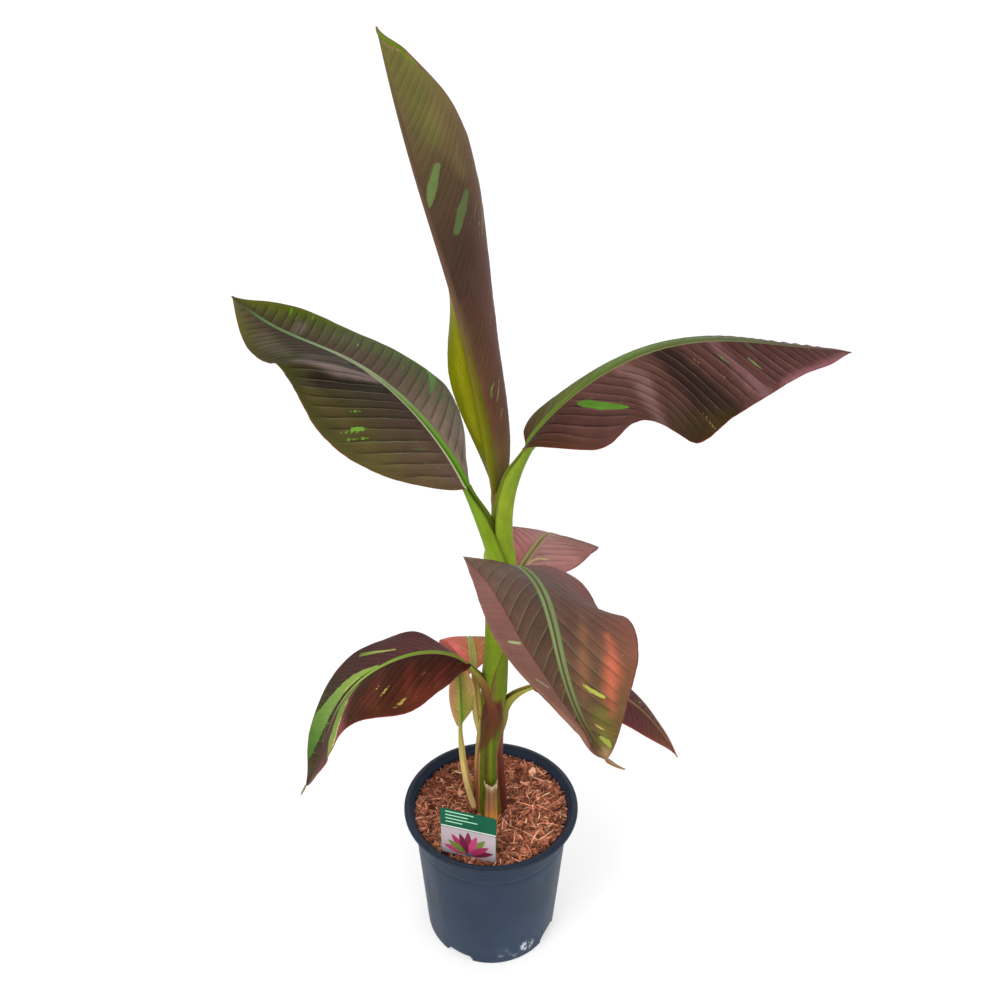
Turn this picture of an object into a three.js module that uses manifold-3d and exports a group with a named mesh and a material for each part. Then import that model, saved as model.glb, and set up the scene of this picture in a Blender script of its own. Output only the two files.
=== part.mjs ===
import * as THREE from "three";
import { mergeVertices } from "three/addons/utils/BufferGeometryUtils.js";
import Module from "manifold-3d";

// A young red banana plant in a nursery pot, in millimetres and degrees.
// +Z is up, +X is the plant's right from the front, and the front faces -Y.
// The origin is the centre of the pot's flat underside.

// Clear space between pieces that meet
const GAP = 0.3;

// Pot
const POT = {
  height: 166,
  rimRadius: 95,
  topRadius: 86,
  baseRadius: 73,
  wall: 2.2,
  floor: 3,
  lipHeight: 5.5,
  lipWidth: 7,
  bevel: 1,
  stepHeight: 135,
  stepDepth: 0.7,
  sides: 48,
};
const NOTCH = { count: 4, first: -29, width: 31, height: 12, depth: 5, steps: 8 };

// Bark mulch that fills the pot
const SOIL = { top: 157, edgeDrop: 2, flatRadius: 32 };

// Stem, as centre and radius at heights from the cut at the mulch to the fork
const STEM = {
  foot: SOIL.top + GAP,
  fork: 462,
  lean: [-0.5, -2, 3, 5.5, 6.5],
  radius: [19.5, 15.8, 13.6, 12.6, 13.2],
  sheathRidge: 0.06,
  sheaths: 3,
  twist: 100,
  sides: 24,
  rings: 14,
};

// Dry sheath at the front of the foot
const DRY_SHEATH = { height: 58, radius: 7, wall: 1.4, arc: 200, steps: 10, y: -24.5, lean: 5 };

// Plant label on a stake
const LABEL = {
  width: 59,
  height: 60,
  thickness: 1.2,
  corner: 3,
  stakeWidth: 16,
  stakeDepth: 34,
  stakePoint: 12,
  centre: [-23, -70],
  turn: -15.8,
};

// Leaves. Each grows from its foot in the stem: a stalk, then a blade on the same midrib.
// rise and turn steer the midrib at the foot, the blade's start, thirds of the blade and its tip:
// rise is the angle above the level, turn the heading clockwise from +Y seen from above.
// roll tips the blade about its midrib. fold and curl bend each half: fold is the angle it leaves
// the midrib at, curl the further bend across it. lift raises its margin at sixths of the length.
// profile holds the widest place and how full the blade is towards its base and its tip.
const LEVEL = [0, 0, 0, 0, 0, 0, 0];
const LEAVES = {
  back_left: {
    foot: [8, -6, 466],
    stalk: 80,
    limb: [10, 6.2],
    length: 354,
    rise: [75, 60, 23, 8, 28],
    turn: [-84, -61, -49, -54, -55],
    roll: [-2, -14, 16],
    profile: [0.37, 0.66, 1.1],
    lobe: 0.08,
    left: {
      half: 85,
      fold: [-14, 2, 5],
      curl: [-53, -26, -25],
      lift: [8, -4, -10, 2, -1, 0, 0],
    },
    right: {
      half: 78,
      fold: [4, 16, 18],
      curl: [-41, -18, -2],
      lift: [-9, -1, 2, 0, -3, 4, 8],
    },
    colour: 0x4b3d2d,
  },
  right: {
    foot: [12, 2, 467],
    stalk: 115,
    limb: [12, 6.8],
    length: 323,
    rise: [100, 61, 30, -5, -7],
    turn: [65, 92, 89, 83, 86],
    roll: [14, 8, -5],
    profile: [0.45, 0.59, 0.97],
    lobe: 0.07,
    left: {
      half: 66,
      fold: [38, 14, 3, 2, 3],
      curl: [-13, -24, -27, -25, -21],
      lift: [5, -5, -3, 1, 3, -2, -1],
    },
    right: {
      half: 74,
      fold: [1, -28, -41, -25, -6],
      curl: [-23, -36, -42, -37, -29],
      lift: [11, -12, 11, -17, -6, 6, -3],
    },
    colour: 0x553732,
  },
  upright: {
    foot: [1, 6, 466],
    stalk: 62,
    limb: [8.6, 7.2],
    length: 394,
    rise: [112, 81, 74, 70, 76],
    turn: [230, 234, 228, 228, 230],
    roll: [-21, -31, 11],
    profile: [0.45, 0.5, 0.86],
    lobe: 0,
    left: {
      half: 80,
      fold: [58, 52, 47, 39, 41],
      curl: [87, 87, 72, 78, 64],
      lift: [0, -3, -2, 0, 1, 4, 0],
    },
    right: {
      half: 75,
      fold: [24, 6, 54, 58, 112],
      curl: [45, 83, 59, 56, 18],
      lift: LEVEL,
    },
    colour: 0x5c4a35,
  },
  front: {
    foot: [5, -6, 433],
    stalk: 56,
    limb: [6.5, 4.5],
    length: 270,
    drip: 12,
    rise: [80, 29, 11, -19, -3],
    turn: [122, 168, 170, 172, 154],
    roll: [10, 28, 6],
    profile: [0.43, 0.4, 0.75],
    lobe: 0.15,
    left: {
      half: 64,
      fold: [6, 8, 11, 10, 8],
      curl: [-23, -11, 0, 3, 4],
      lift: [8, 0, -11, 5, 11, 4, 1],
    },
    right: {
      half: 64,
      fold: [16, 7, 2, 7, 19],
      curl: [-22, -15, -6, 12, 35],
      lift: [1, -1, 1, 0, -1, 4, 4],
    },
    colour: 0x5a413c,
  },
  back_right: {
    foot: [8, 4, 402],
    stalk: 48,
    limb: [6, 4.2],
    length: 210,
    bend: 0.36,
    rise: [80, 38, -17, -35, -50],
    turn: [70, 40, 18, 29, 32],
    roll: [-5, -3, -5],
    profile: [0.42, 0.5, 0.85],
    lobe: 0.1,
    left: {
      half: 49,
      fold: [17, 10, 3, -1, -3],
      curl: [-20, -18, -16, -16, -16],
      lift: [0, 0, 1, 0, 0, 0, 0],
    },
    right: {
      half: 51,
      fold: [-5, -3, 1, 4, 3],
      curl: [-34, -23, -14, -10, -10],
      lift: [0, -4, -1, 2, 3, 2, 0],
    },
    colour: 0x965a5f,
  },
  low_left: {
    foot: [2, -7, 301],
    stalk: 60,
    limb: [7.5, 4],
    length: 264,
    drip: 14,
    bend: 0.42,
    rise: [78, 50, -21, -68, -63],
    turn: [-70, -115, -105, -91, -86],
    roll: [-37, -21, 22],
    profile: [0.37, 0.48, 0.9],
    lobe: 0.05,
    left: {
      half: 55,
      fold: [-54, -21, -1, 4, 12],
      curl: [-74, -55, -39, -27, -11],
      lift: [9, 3, -10, 0, -2, 3, 5],
    },
    right: {
      half: 54,
      fold: [34, 31, 29, 23, 15],
      curl: [-18, -17, -12, -6, 1],
      lift: [-5, 3, -3, 2, 6, 6, 2],
    },
    colour: 0x5c2d28,
  },
  low_right: {
    foot: [12, 2, 287],
    stalk: 45,
    limb: [6.5, 3.8],
    length: 190,
    rise: [75, 15, -14, -45, -60],
    turn: [90, 88, 92, 100, 105],
    roll: [0, 0, 0],
    profile: [0.42, 0.5, 1.25],
    lobe: 0.1,
    left: {
      half: 38,
      fold: [15, 0, 0],
      curl: [-20, -20, -20],
      lift: LEVEL,
    },
    right: {
      half: 36,
      fold: [15, 0, 0],
      curl: [-20, -20, -20],
      lift: LEVEL,
    },
    colour: 0x5a3230,
  },
  low_back: {
    foot: [-14, 6, 285],
    stalk: 45,
    limb: [5.5, 3.8],
    length: 190,
    bend: 0.36,
    rise: [92, 30, -30, -62, -75],
    turn: [-20, -6, -8, -10, -10],
    roll: [0, -4, 0],
    profile: [0.42, 0.7, 0.85],
    lobe: 0,
    left: {
      half: 32,
      fold: [20, 0, 0],
      curl: [-20, -20, -20],
      lift: LEVEL,
    },
    right: {
      half: 40,
      fold: [10, 0, 0],
      curl: [-20, -20, -20],
      lift: LEVEL,
    },
    colour: 0xbe5a50,
  },
  basal: {
    foot: [-17, -2, 160],
    stalk: 109,
    limb: [5, 2.6],
    length: 78,
    rise: [72, 92, 90, 85, 80],
    turn: [-80, -60, -40, -30, -30],
    roll: [0, 0, 0],
    profile: [0.42, 0.6, 0.85],
    lobe: 0,
    left: {
      half: 18,
      fold: [20, 10, 0],
      curl: [20, 20, 20],
      lift: LEVEL,
    },
    right: {
      half: 16,
      fold: [20, 10, 0],
      curl: [20, 20, 20],
      lift: LEVEL,
    },
    colour: 0x8c8c46,
  },
};

// Leaf mesh
const MIDRIB_STEPS = 60;
const LIMB_SIDES = 10;
const LIMB_STEPS = 8;
const ROOT = 7;
const GROOVE = 0.3;
const BLADE_ROWS = 18;
const HALF_COLUMNS = [1, 0.62, 0.26, 0];
const THICKNESS_SHARE = 0.0105;
const THIN_TIP = 1.3;
const RIB_SHARE = 0.8;
const RIB_DEPTH_SHARE = 1.1;
const RIB_BORDER = 0.4;
const LOBE_REACH = 0.06;

const wasm = await Module();
wasm.setup();

const radians = THREE.MathUtils.degToRad;

// Smooth value between equally spaced ones, t from 0 to 1
function blend(values, t) {
  const last = values.length - 1;
  const place = THREE.MathUtils.clamp(t, 0, 1) * last;
  const i = Math.min(Math.floor(place), last - 1);
  const f = place - i;
  const b = values[i];
  const c = values[i + 1];
  const a = i > 0 ? values[i - 1] : 2 * b - c;
  const d = i + 2 <= last ? values[i + 2] : 2 * c - b;
  return b + 0.5 * f * (c - a + f * (2 * a - 5 * b + 4 * c - d + f * (3 * (b - c) + d - a)));
}

function solidOf(geometry) {
  const bare = geometry.clone();
  for (const name of ["normal", "uv"]) bare.deleteAttribute(name);
  const merged = mergeVertices(bare, 1e-4);
  return new wasm.Manifold(
    new wasm.Mesh({
      numProp: 3,
      vertProperties: merged.attributes.position.array,
      triVerts: new Uint32Array(merged.index.array),
    }),
  );
}

function geometryOf(solid) {
  const mesh = solid.getMesh();
  const geometry = new THREE.BufferGeometry();
  geometry.setAttribute("position", new THREE.BufferAttribute(mesh.vertProperties, 3));
  geometry.setIndex(new THREE.BufferAttribute(mesh.triVerts, 1));
  return geometry;
}

// Closed body through rings of points that all have the same count, anticlockwise seen from ahead
function loft(rings) {
  const count = rings[0].length;
  const positions = rings.flat().flatMap((p) => [p.x, p.y, p.z]);
  const index = [];
  for (let r = 0; r < rings.length - 1; r++) {
    for (let i = 0; i < count; i++) {
      const a = r * count + i;
      const b = r * count + ((i + 1) % count);
      index.push(a, b, b + count, a, b + count, a + count);
    }
  }
  for (const [ring, back] of [[0, true], [rings.length - 1, false]]) {
    const face = THREE.ShapeUtils.triangulateShape(flatten(rings[ring]), []);
    for (const [a, b, c] of face) {
      const corner = [a, b, c].map((i) => ring * count + i);
      index.push(...(back ? corner.reverse() : corner));
    }
  }
  const geometry = new THREE.BufferGeometry();
  geometry.setAttribute("position", new THREE.Float32BufferAttribute(positions, 3));
  geometry.setIndex(index);
  return geometry;
}

// A ring's points in the ring's own plane, anticlockwise
function flatten(ring) {
  const centre = ring.reduce((sum, p) => sum.add(p), new THREE.Vector3()).divideScalar(ring.length);
  const normal = new THREE.Vector3();
  ring.forEach((p, i) => {
    const next = ring[(i + 1) % ring.length];
    normal.add(p.clone().sub(centre).cross(next.clone().sub(centre)));
  });
  normal.normalize();
  const along = ring[0].clone().sub(centre);
  along.addScaledVector(normal, -along.dot(normal)).normalize();
  const across = normal.clone().cross(along);
  return ring.map((p) => {
    const offset = p.clone().sub(centre);
    return new THREE.Vector2(offset.dot(along), offset.dot(across));
  });
}

function lathe(profile, sides) {
  const points = profile.map(([radius, z]) => new THREE.Vector2(radius, z));
  return new THREE.LatheGeometry(points, sides).rotateX(Math.PI / 2);
}

function largest(solid) {
  return solid.decompose().reduce((best, body) => (body.volume() > best.volume() ? body : best));
}

// Pot, with a beaded lip, a step round the body and arched notches in its foot
function potWallRadius(z) {
  const share = z / (POT.height - POT.lipHeight);
  return THREE.MathUtils.lerp(POT.baseRadius, POT.topRadius, share);
}

function pot() {
  const { height, rimRadius, lipHeight, lipWidth, bevel, wall, floor, stepHeight, stepDepth } = POT;
  const lip = height - lipHeight;
  const inner = rimRadius - lipWidth;
  const body = lathe(
    [
      [0, 0],
      [potWallRadius(0) - bevel, 0],
      [potWallRadius(bevel), bevel],
      [potWallRadius(stepHeight - bevel) - stepDepth, stepHeight - bevel],
      [potWallRadius(stepHeight), stepHeight],
      [potWallRadius(lip), lip],
      [rimRadius - bevel, lip],
      [rimRadius, lip + bevel],
      [rimRadius, height - 2 * bevel],
      [rimRadius - bevel, height - bevel / 2],
      [rimRadius - 2 * bevel, height - bevel],
      [inner + 2 * bevel, height],
      [inner, height - bevel],
      [potWallRadius(lip) - wall, lip - 2 * bevel],
      [potWallRadius(floor) - wall, floor],
      [0, floor],
      [0, 0],
    ],
    POT.sides,
  );
  let solid = solidOf(body);
  for (let i = 0; i < NOTCH.count; i++) {
    solid = solid.subtract(solidOf(notch(NOTCH.first + (i * 360) / NOTCH.count)));
  }
  return geometryOf(solid);
}

function notch(angle) {
  const arch = new THREE.Shape();
  arch.moveTo(-NOTCH.width / 2, -1);
  arch.lineTo(NOTCH.width / 2, -1);
  for (let i = 0; i <= NOTCH.steps; i++) {
    const turn = (Math.PI * i) / NOTCH.steps;
    arch.lineTo((NOTCH.width / 2) * Math.cos(turn), NOTCH.height * Math.sin(turn));
  }
  const cutter = new THREE.ExtrudeGeometry(arch, { depth: 2 * NOTCH.depth, bevelEnabled: false });
  cutter.rotateX(Math.PI / 2);
  cutter.translate(0, -POT.baseRadius + NOTCH.depth, 0);
  return cutter.rotateZ(radians(angle));
}

function soil() {
  const { wall, floor } = POT;
  const edge = SOIL.top - SOIL.edgeDrop;
  const solid = solidOf(
    lathe(
      [
        [0, floor + GAP],
        [potWallRadius(floor) - wall - GAP, floor + GAP],
        [potWallRadius(edge) - wall - GAP - POT.stepDepth, edge],
        [SOIL.flatRadius, SOIL.top],
        [0, SOIL.top],
        [0, floor + GAP],
      ],
      POT.sides,
    ),
  );
  const slot = new THREE.BoxGeometry(
    LABEL.stakeWidth + 2 * GAP,
    LABEL.thickness + 2 * GAP,
    2 * (LABEL.stakeDepth + GAP),
  );
  slot.translate(0, 0, SOIL.top);
  placeLabel(slot);
  return geometryOf(solid.subtract(solidOf(slot)));
}

// Label: a card with round corners on a pointed stake, upright in the mulch
function label() {
  const { width, height, corner, stakeWidth, stakeDepth, stakePoint, thickness } = LABEL;
  const foot = SOIL.top + GAP;
  const outline = new THREE.Shape();
  outline.moveTo(0, foot - stakeDepth);
  outline.lineTo(stakeWidth / 2, foot - stakeDepth + stakePoint);
  outline.lineTo(stakeWidth / 2, foot);
  outline.lineTo(width / 2, foot);
  outline.lineTo(width / 2, foot + height - corner);
  outline.absarc(width / 2 - corner, foot + height - corner, corner, 0, Math.PI / 2);
  outline.absarc(corner - width / 2, foot + height - corner, corner, Math.PI / 2, Math.PI);
  outline.lineTo(-width / 2, foot);
  outline.lineTo(-stakeWidth / 2, foot);
  outline.lineTo(-stakeWidth / 2, foot - stakeDepth + stakePoint);
  const card = new THREE.ExtrudeGeometry(outline, {
    depth: thickness,
    bevelEnabled: false,
    curveSegments: 4,
  });
  card.rotateX(Math.PI / 2);
  card.translate(0, thickness / 2, 0);
  return placeLabel(card);
}

function placeLabel(geometry) {
  geometry.rotateZ(radians(LABEL.turn));
  return geometry.translate(LABEL.centre[0], LABEL.centre[1], 0);
}

// Stem of overlapping leaf sheaths
function stem(grown = 0) {
  const rings = [];
  for (let r = 0; r <= STEM.rings; r++) {
    const t = r / STEM.rings;
    const end = r === 0 ? -grown : r === STEM.rings ? grown : 0;
    const z = THREE.MathUtils.lerp(STEM.foot, STEM.fork, t) + end;
    const radius = blend(STEM.radius, t) + grown;
    const ring = [];
    for (let i = 0; i < STEM.sides; i++) {
      const angle = (2 * Math.PI * i) / STEM.sides;
      const turn = STEM.sheaths * angle + radians(STEM.twist * t);
      const reach = radius * (1 + STEM.sheathRidge * (Math.cos(turn) - 1) * 0.5);
      ring.push(
        new THREE.Vector3(blend(STEM.lean, t) + reach * Math.cos(angle), reach * Math.sin(angle), z),
      );
    }
    rings.push(ring);
  }
  return loft(rings);
}

function drySheath() {
  const { height, radius, wall, arc, steps, y, lean } = DRY_SHEATH;
  const rings = [0, 1].map((level) => {
    const spread = radius - level;
    const z = STEM.foot + level * height;
    const ring = [];
    for (const [r, order] of [[spread, 1], [spread - wall, -1]]) {
      for (let i = 0; i <= steps; i++) {
        const step = order > 0 ? i : steps - i;
        const angle = radians(-90 - arc / 2 + (arc * step) / steps);
        ring.push(new THREE.Vector3(r * Math.cos(angle), y + level * lean + r * Math.sin(angle), z));
      }
    }
    return ring;
  });
  return loft(rings);
}

// Midrib: a point and a frame at every step of a stalk or a blade
function heading(rise, turn) {
  const up = radians(rise);
  const round = radians(turn);
  const ahead = new THREE.Vector3(
    Math.cos(up) * Math.sin(round),
    Math.cos(up) * Math.cos(round),
    Math.sin(up),
  );
  const side = new THREE.Vector3(Math.cos(round), -Math.sin(round), 0);
  return { ahead, side, normal: side.clone().cross(ahead) };
}

function stalkPoint(leaf, t) {
  const point = new THREE.Vector3(...leaf.foot);
  const steps = Math.round(MIDRIB_STEPS * t);
  for (let i = 0; i < steps; i++) {
    const place = (i + 0.5) / MIDRIB_STEPS;
    const rise = THREE.MathUtils.lerp(leaf.rise[0], leaf.rise[1], place);
    const turn = THREE.MathUtils.lerp(leaf.turn[0], leaf.turn[1], place);
    point.addScaledVector(heading(rise, turn).ahead, leaf.stalk / MIDRIB_STEPS);
  }
  return point;
}

// Distance d along the blade's midrib, past the blade's end on to the drip tip
function bladePoint(leaf, d) {
  const point = stalkPoint(leaf, 1);
  const step = d / MIDRIB_STEPS;
  for (let i = 0; i < MIDRIB_STEPS; i++) {
    const t = ((i + 0.5) * step) / leaf.length;
    const { ahead } = heading(blend(leaf.rise.slice(1), t), blend(leaf.turn.slice(1), t));
    point.addScaledVector(ahead, step);
  }
  return point;
}

// Stalk with a groove along its upper side, its root run on into the stem
function limb(leaf, grown = 0) {
  const rings = [];
  for (let r = 0; r <= LIMB_STEPS; r++) {
    const t = r / LIMB_STEPS;
    const place = Math.round(MIDRIB_STEPS * t) / MIDRIB_STEPS;
    const rise = THREE.MathUtils.lerp(leaf.rise[0], leaf.rise[1], place);
    const turn = THREE.MathUtils.lerp(leaf.turn[0], leaf.turn[1], place);
    const { ahead, side, normal } = heading(rise, turn);
    const centre = stalkPoint(leaf, place);
    if (r === 0) centre.addScaledVector(ahead, -ROOT - grown);
    if (r === LIMB_STEPS) centre.addScaledVector(ahead, grown - GAP);
    const radius = THREE.MathUtils.lerp(leaf.limb[0], leaf.limb[1], t) + grown;
    const ring = [];
    for (let i = 0; i < LIMB_SIDES; i++) {
      const angle = (2 * Math.PI * (i + 0.5)) / LIMB_SIDES;
      const upward = Math.max(0, -Math.cos(angle));
      const reach = radius * (1 - (grown ? 0 : GROOVE * upward ** 6));
      ring.push(
        centre
          .clone()
          .addScaledVector(side, -reach * Math.sin(angle))
          .addScaledVector(normal, -reach * Math.cos(angle)),
      );
    }
    rings.push(ring);
  }
  return loft(rings);
}

// Half width of a blade as a share of its widest
function fullness(leaf, t) {
  const [widest, base, tip] = leaf.profile;
  const near = 1 - (1 - Math.min(t / widest, 1)) ** 2;
  const far = 1 - Math.max((t - widest) / (1 - widest), 0) ** 2;
  return Math.max(near, 0) ** base * Math.max(far, 0) ** tip;
}

// Blade from one share of its length to another, as a closed thin body with a midrib below
function blade(leaf, from, to) {
  const total = leaf.length + (to === 1 ? (leaf.drip ?? 0) : 0);
  const start = from * leaf.length;
  const end = to === 1 ? total : to * leaf.length;
  const rows = Math.max(4, Math.round((BLADE_ROWS * (end - start)) / leaf.length));
  const thickness = THICKNESS_SHARE * total;
  const rings = [];
  for (let r = 0; r <= rows; r++) {
    const d = THREE.MathUtils.lerp(start, end, r / rows);
    const t = Math.min(d / leaf.length, 1);
    rings.push(bladeRing(leaf, d, t, thickness));
  }
  return loft(rings);
}

function bladeRing(leaf, d, t, thickness) {
  const { ahead, side, normal } = heading(
    blend(leaf.rise.slice(1), t),
    blend(leaf.turn.slice(1), t),
  );
  const roll = radians(blend(leaf.roll, t));
  const across = side.clone().multiplyScalar(Math.cos(roll)).addScaledVector(normal, Math.sin(roll));
  const upper = normal.clone().multiplyScalar(Math.cos(roll)).addScaledVector(side, -Math.sin(roll));
  const centre = bladePoint(leaf, d);
  const share = fullness(leaf, t);
  const rib = THREE.MathUtils.lerp(leaf.limb[1] * RIB_SHARE, THIN_TIP * 0.6, t);
  const ribDepth = THREE.MathUtils.lerp(leaf.limb[1] * RIB_DEPTH_SHARE, 0, t);
  const top = [];
  const under = [];
  const place = (sign, column, flip) => {
    const half = flip.half * share;
    const reach = Math.max(half, rib + RIB_BORDER);
    const offset = rib + (reach - rib) * column;
    const u = offset / reach;
    const settle = THREE.MathUtils.smoothstep(half, 0, 20);
    const fold = radians(blend(flip.fold, t)) * settle;
    const curl = radians(blend(flip.curl, t)) * settle || 1e-5;
    const out = ((Math.sin(fold + curl * u) - Math.sin(fold)) / curl) * reach;
    const rise = ((Math.cos(fold) - Math.cos(fold + curl * u)) / curl) * reach;
    const lift = blend(flip.lift, t) * u * u * Math.min(1, 2 * share);
    const back = leaf.lobe * u * Math.exp(-t / LOBE_REACH) * half;
    const point = centre
      .clone()
      .addScaledVector(across, sign * out)
      .addScaledVector(upper, rise + lift)
      .addScaledVector(ahead, -back);
    const lean = column > 0 ? fold + curl * u : 0;
    const face = upper
      .clone()
      .multiplyScalar(Math.cos(lean))
      .addScaledVector(across, -sign * Math.sin(lean));
    top.push(point.clone().addScaledVector(face, thickness / 2));
    const depth = thickness / 2 + (column > 0 ? 0 : ribDepth);
    under.push(point.clone().addScaledVector(face, -depth));
  };
  for (const column of HALF_COLUMNS) place(-1, column, leaf.left);
  for (const column of [...HALF_COLUMNS].reverse()) place(1, column, leaf.right);
  return [...top, ...under.reverse()];
}

// Assembly: every piece is cut clear of what it grows from
const group = new THREE.Group();

function add(name, geometry, colour, roughness) {
  const flat = geometry.index ? geometry.toNonIndexed() : geometry;
  flat.computeVertexNormals();
  const material = new THREE.MeshStandardMaterial({ color: colour, roughness, metalness: 0 });
  const mesh = new THREE.Mesh(flat, material);
  mesh.name = name;
  group.add(mesh);
}

add("pot", pot(), 0x465262, 0.55);
add("mulch", soil(), 0x965f46, 0.95);
add("label", label(), 0x00734b, 0.4);
add("stem", stem(), 0x7da028, 0.5);
add("dry_sheath", drySheath(), 0xc8a068, 0.85);

const grownStem = solidOf(stem(GAP));
const grownLimbs = [];
for (const [name, leaf] of Object.entries(LEAVES)) {
  let solid = solidOf(limb(leaf)).trimByPlane([0, 0, 1], STEM.foot).subtract(grownStem);
  for (const other of grownLimbs) solid = solid.subtract(other);
  add("stalk_" + name, geometryOf(largest(solid)), 0x8ca03c, 0.5);
  grownLimbs.push(solidOf(limb(leaf, GAP)));
}
for (const [name, leaf] of Object.entries(LEAVES)) {
  const gap = GAP / leaf.length;
  const parts = leaf.bend
    ? { _near: [0, leaf.bend - gap / 2], _far: [leaf.bend + gap / 2, 1] }
    : { "": [0, 1] };
  for (const [part, [from, to]] of Object.entries(parts)) {
    let solid = solidOf(blade(leaf, from, to)).subtract(grownStem);
    for (const other of grownLimbs) solid = solid.subtract(other);
    add("blade_" + name + part, geometryOf(largest(solid)), leaf.colour, 0.5);
  }
}

export default group;
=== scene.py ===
import math
import bpy
import numpy as np
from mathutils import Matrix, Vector


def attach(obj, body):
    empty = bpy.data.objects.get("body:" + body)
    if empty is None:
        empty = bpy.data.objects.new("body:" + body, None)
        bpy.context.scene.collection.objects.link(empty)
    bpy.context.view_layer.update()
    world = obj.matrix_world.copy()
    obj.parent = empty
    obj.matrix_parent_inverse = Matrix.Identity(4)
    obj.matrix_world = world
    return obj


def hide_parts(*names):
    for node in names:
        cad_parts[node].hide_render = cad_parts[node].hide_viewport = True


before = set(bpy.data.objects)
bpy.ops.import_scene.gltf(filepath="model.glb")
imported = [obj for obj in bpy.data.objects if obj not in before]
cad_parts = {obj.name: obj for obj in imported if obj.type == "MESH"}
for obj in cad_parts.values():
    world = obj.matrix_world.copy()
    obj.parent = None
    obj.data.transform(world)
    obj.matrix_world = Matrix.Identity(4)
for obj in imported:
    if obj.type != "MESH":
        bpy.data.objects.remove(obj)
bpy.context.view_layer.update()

MM = 0.001
GAP = 0.3


# Camera
CAMERA = dict(distance=0.707, height=0.857, pitch=24.9, lens=30.6, shift=0.009)

camera_data = bpy.data.cameras.new("camera")
camera = bpy.data.objects.new("camera", camera_data)
bpy.context.scene.collection.objects.link(camera)
bpy.context.scene.camera = camera
camera_data.sensor_width = 36
camera_data.lens = CAMERA["lens"]
camera_data.shift_x = CAMERA["shift"]
camera_data.clip_start, camera_data.clip_end = 0.01, 20
camera.location = (0, -CAMERA["distance"], CAMERA["height"])
camera.rotation_euler = (math.radians(90 - CAMERA["pitch"]), 0, 0)


# Small helpers
def linear(*srgb):
    """An sRGB colour of 0 to 255 as linear values."""
    c = np.asarray(srgb, float) / 255
    return np.where(c <= 0.04045, c / 12.92, ((c + 0.055) / 1.055) ** 2.4)


def mix(a, b, f):
    f = np.asarray(f, float)[..., None]
    return np.asarray(a, float) * (1 - f) + np.asarray(b, float) * f


def smooth(x, low, high):
    """A soft step from 0 at low to 1 at high."""
    t = np.clip((np.asarray(x, float) - low) / (high - low), 0, 1)
    return t * t * (3 - 2 * t)


def bell(x, middle, width):
    return np.exp(-(((x - middle) / width) ** 2))


def between(pair, t):
    return pair[0] + (pair[1] - pair[0]) * t


def blend(values, t):
    """Catmull-Rom between equally spaced values, t from 0 to 1."""
    values = np.asarray(values, float)
    last = len(values) - 1
    place = np.clip(t, 0, 1) * last
    i = np.minimum(np.floor(place).astype(int), last - 1)
    f = place - i
    ends = np.concatenate([[2 * values[0] - values[1]], values, [2 * values[-1] - values[-2]]])
    a, b, c, d = ends[i], ends[i + 1], ends[i + 2], ends[i + 3]
    if values.ndim > 1:
        f = f[..., None]
    return b + 0.5 * f * (c - a + f * (2 * a - 5 * b + 4 * c - d + f * (3 * (b - c) + d - a)))


def gradient(keys, t):
    """Linear colours at t along some sRGB ones. A lone colour holds all along."""
    keys = [keys, keys] if isinstance(keys, tuple) else keys
    return np.clip(blend([linear(*k) for k in keys], t), 0, 1)


def wander(x, seed, waves=5):
    """A smooth irregular curve between about -1 and 1."""
    local = np.random.default_rng(seed)
    x = np.asarray(x, float)
    total = np.zeros_like(x)
    for k in range(waves):
        total += np.sin(x * local.uniform(0.6, 1.4) * 1.7**k + local.uniform(0, 6.28)) / 1.35**k
    return total / 2.6


def wander2(x, y, seed, waves=5):
    """A smooth irregular field between about -1 and 1."""
    local = np.random.default_rng(seed)
    total = np.zeros(np.broadcast(x, y).shape)
    for k in range(waves):
        turn = local.uniform(0, 6.28)
        pull = local.uniform(0.7, 1.3) * 1.6**k
        along = (x * math.cos(turn) + y * math.sin(turn)) * pull
        total += np.sin(along + 1.3 * np.sin(along * 0.37 + local.uniform(0, 6))) / 1.3**k
    return total / 2.4


def full_circle(count):
    return 2 * np.pi * np.arange(count) / count


def apart(angle, middle):
    """How far angles lie from a middle one, from -pi to pi."""
    return (angle - middle + np.pi) % (2 * np.pi) - np.pi


def ring_points(radius, angle, z):
    flat = np.broadcast_arrays(radius * np.cos(angle), radius * np.sin(angle), z)
    return np.stack(flat, -1)


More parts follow.
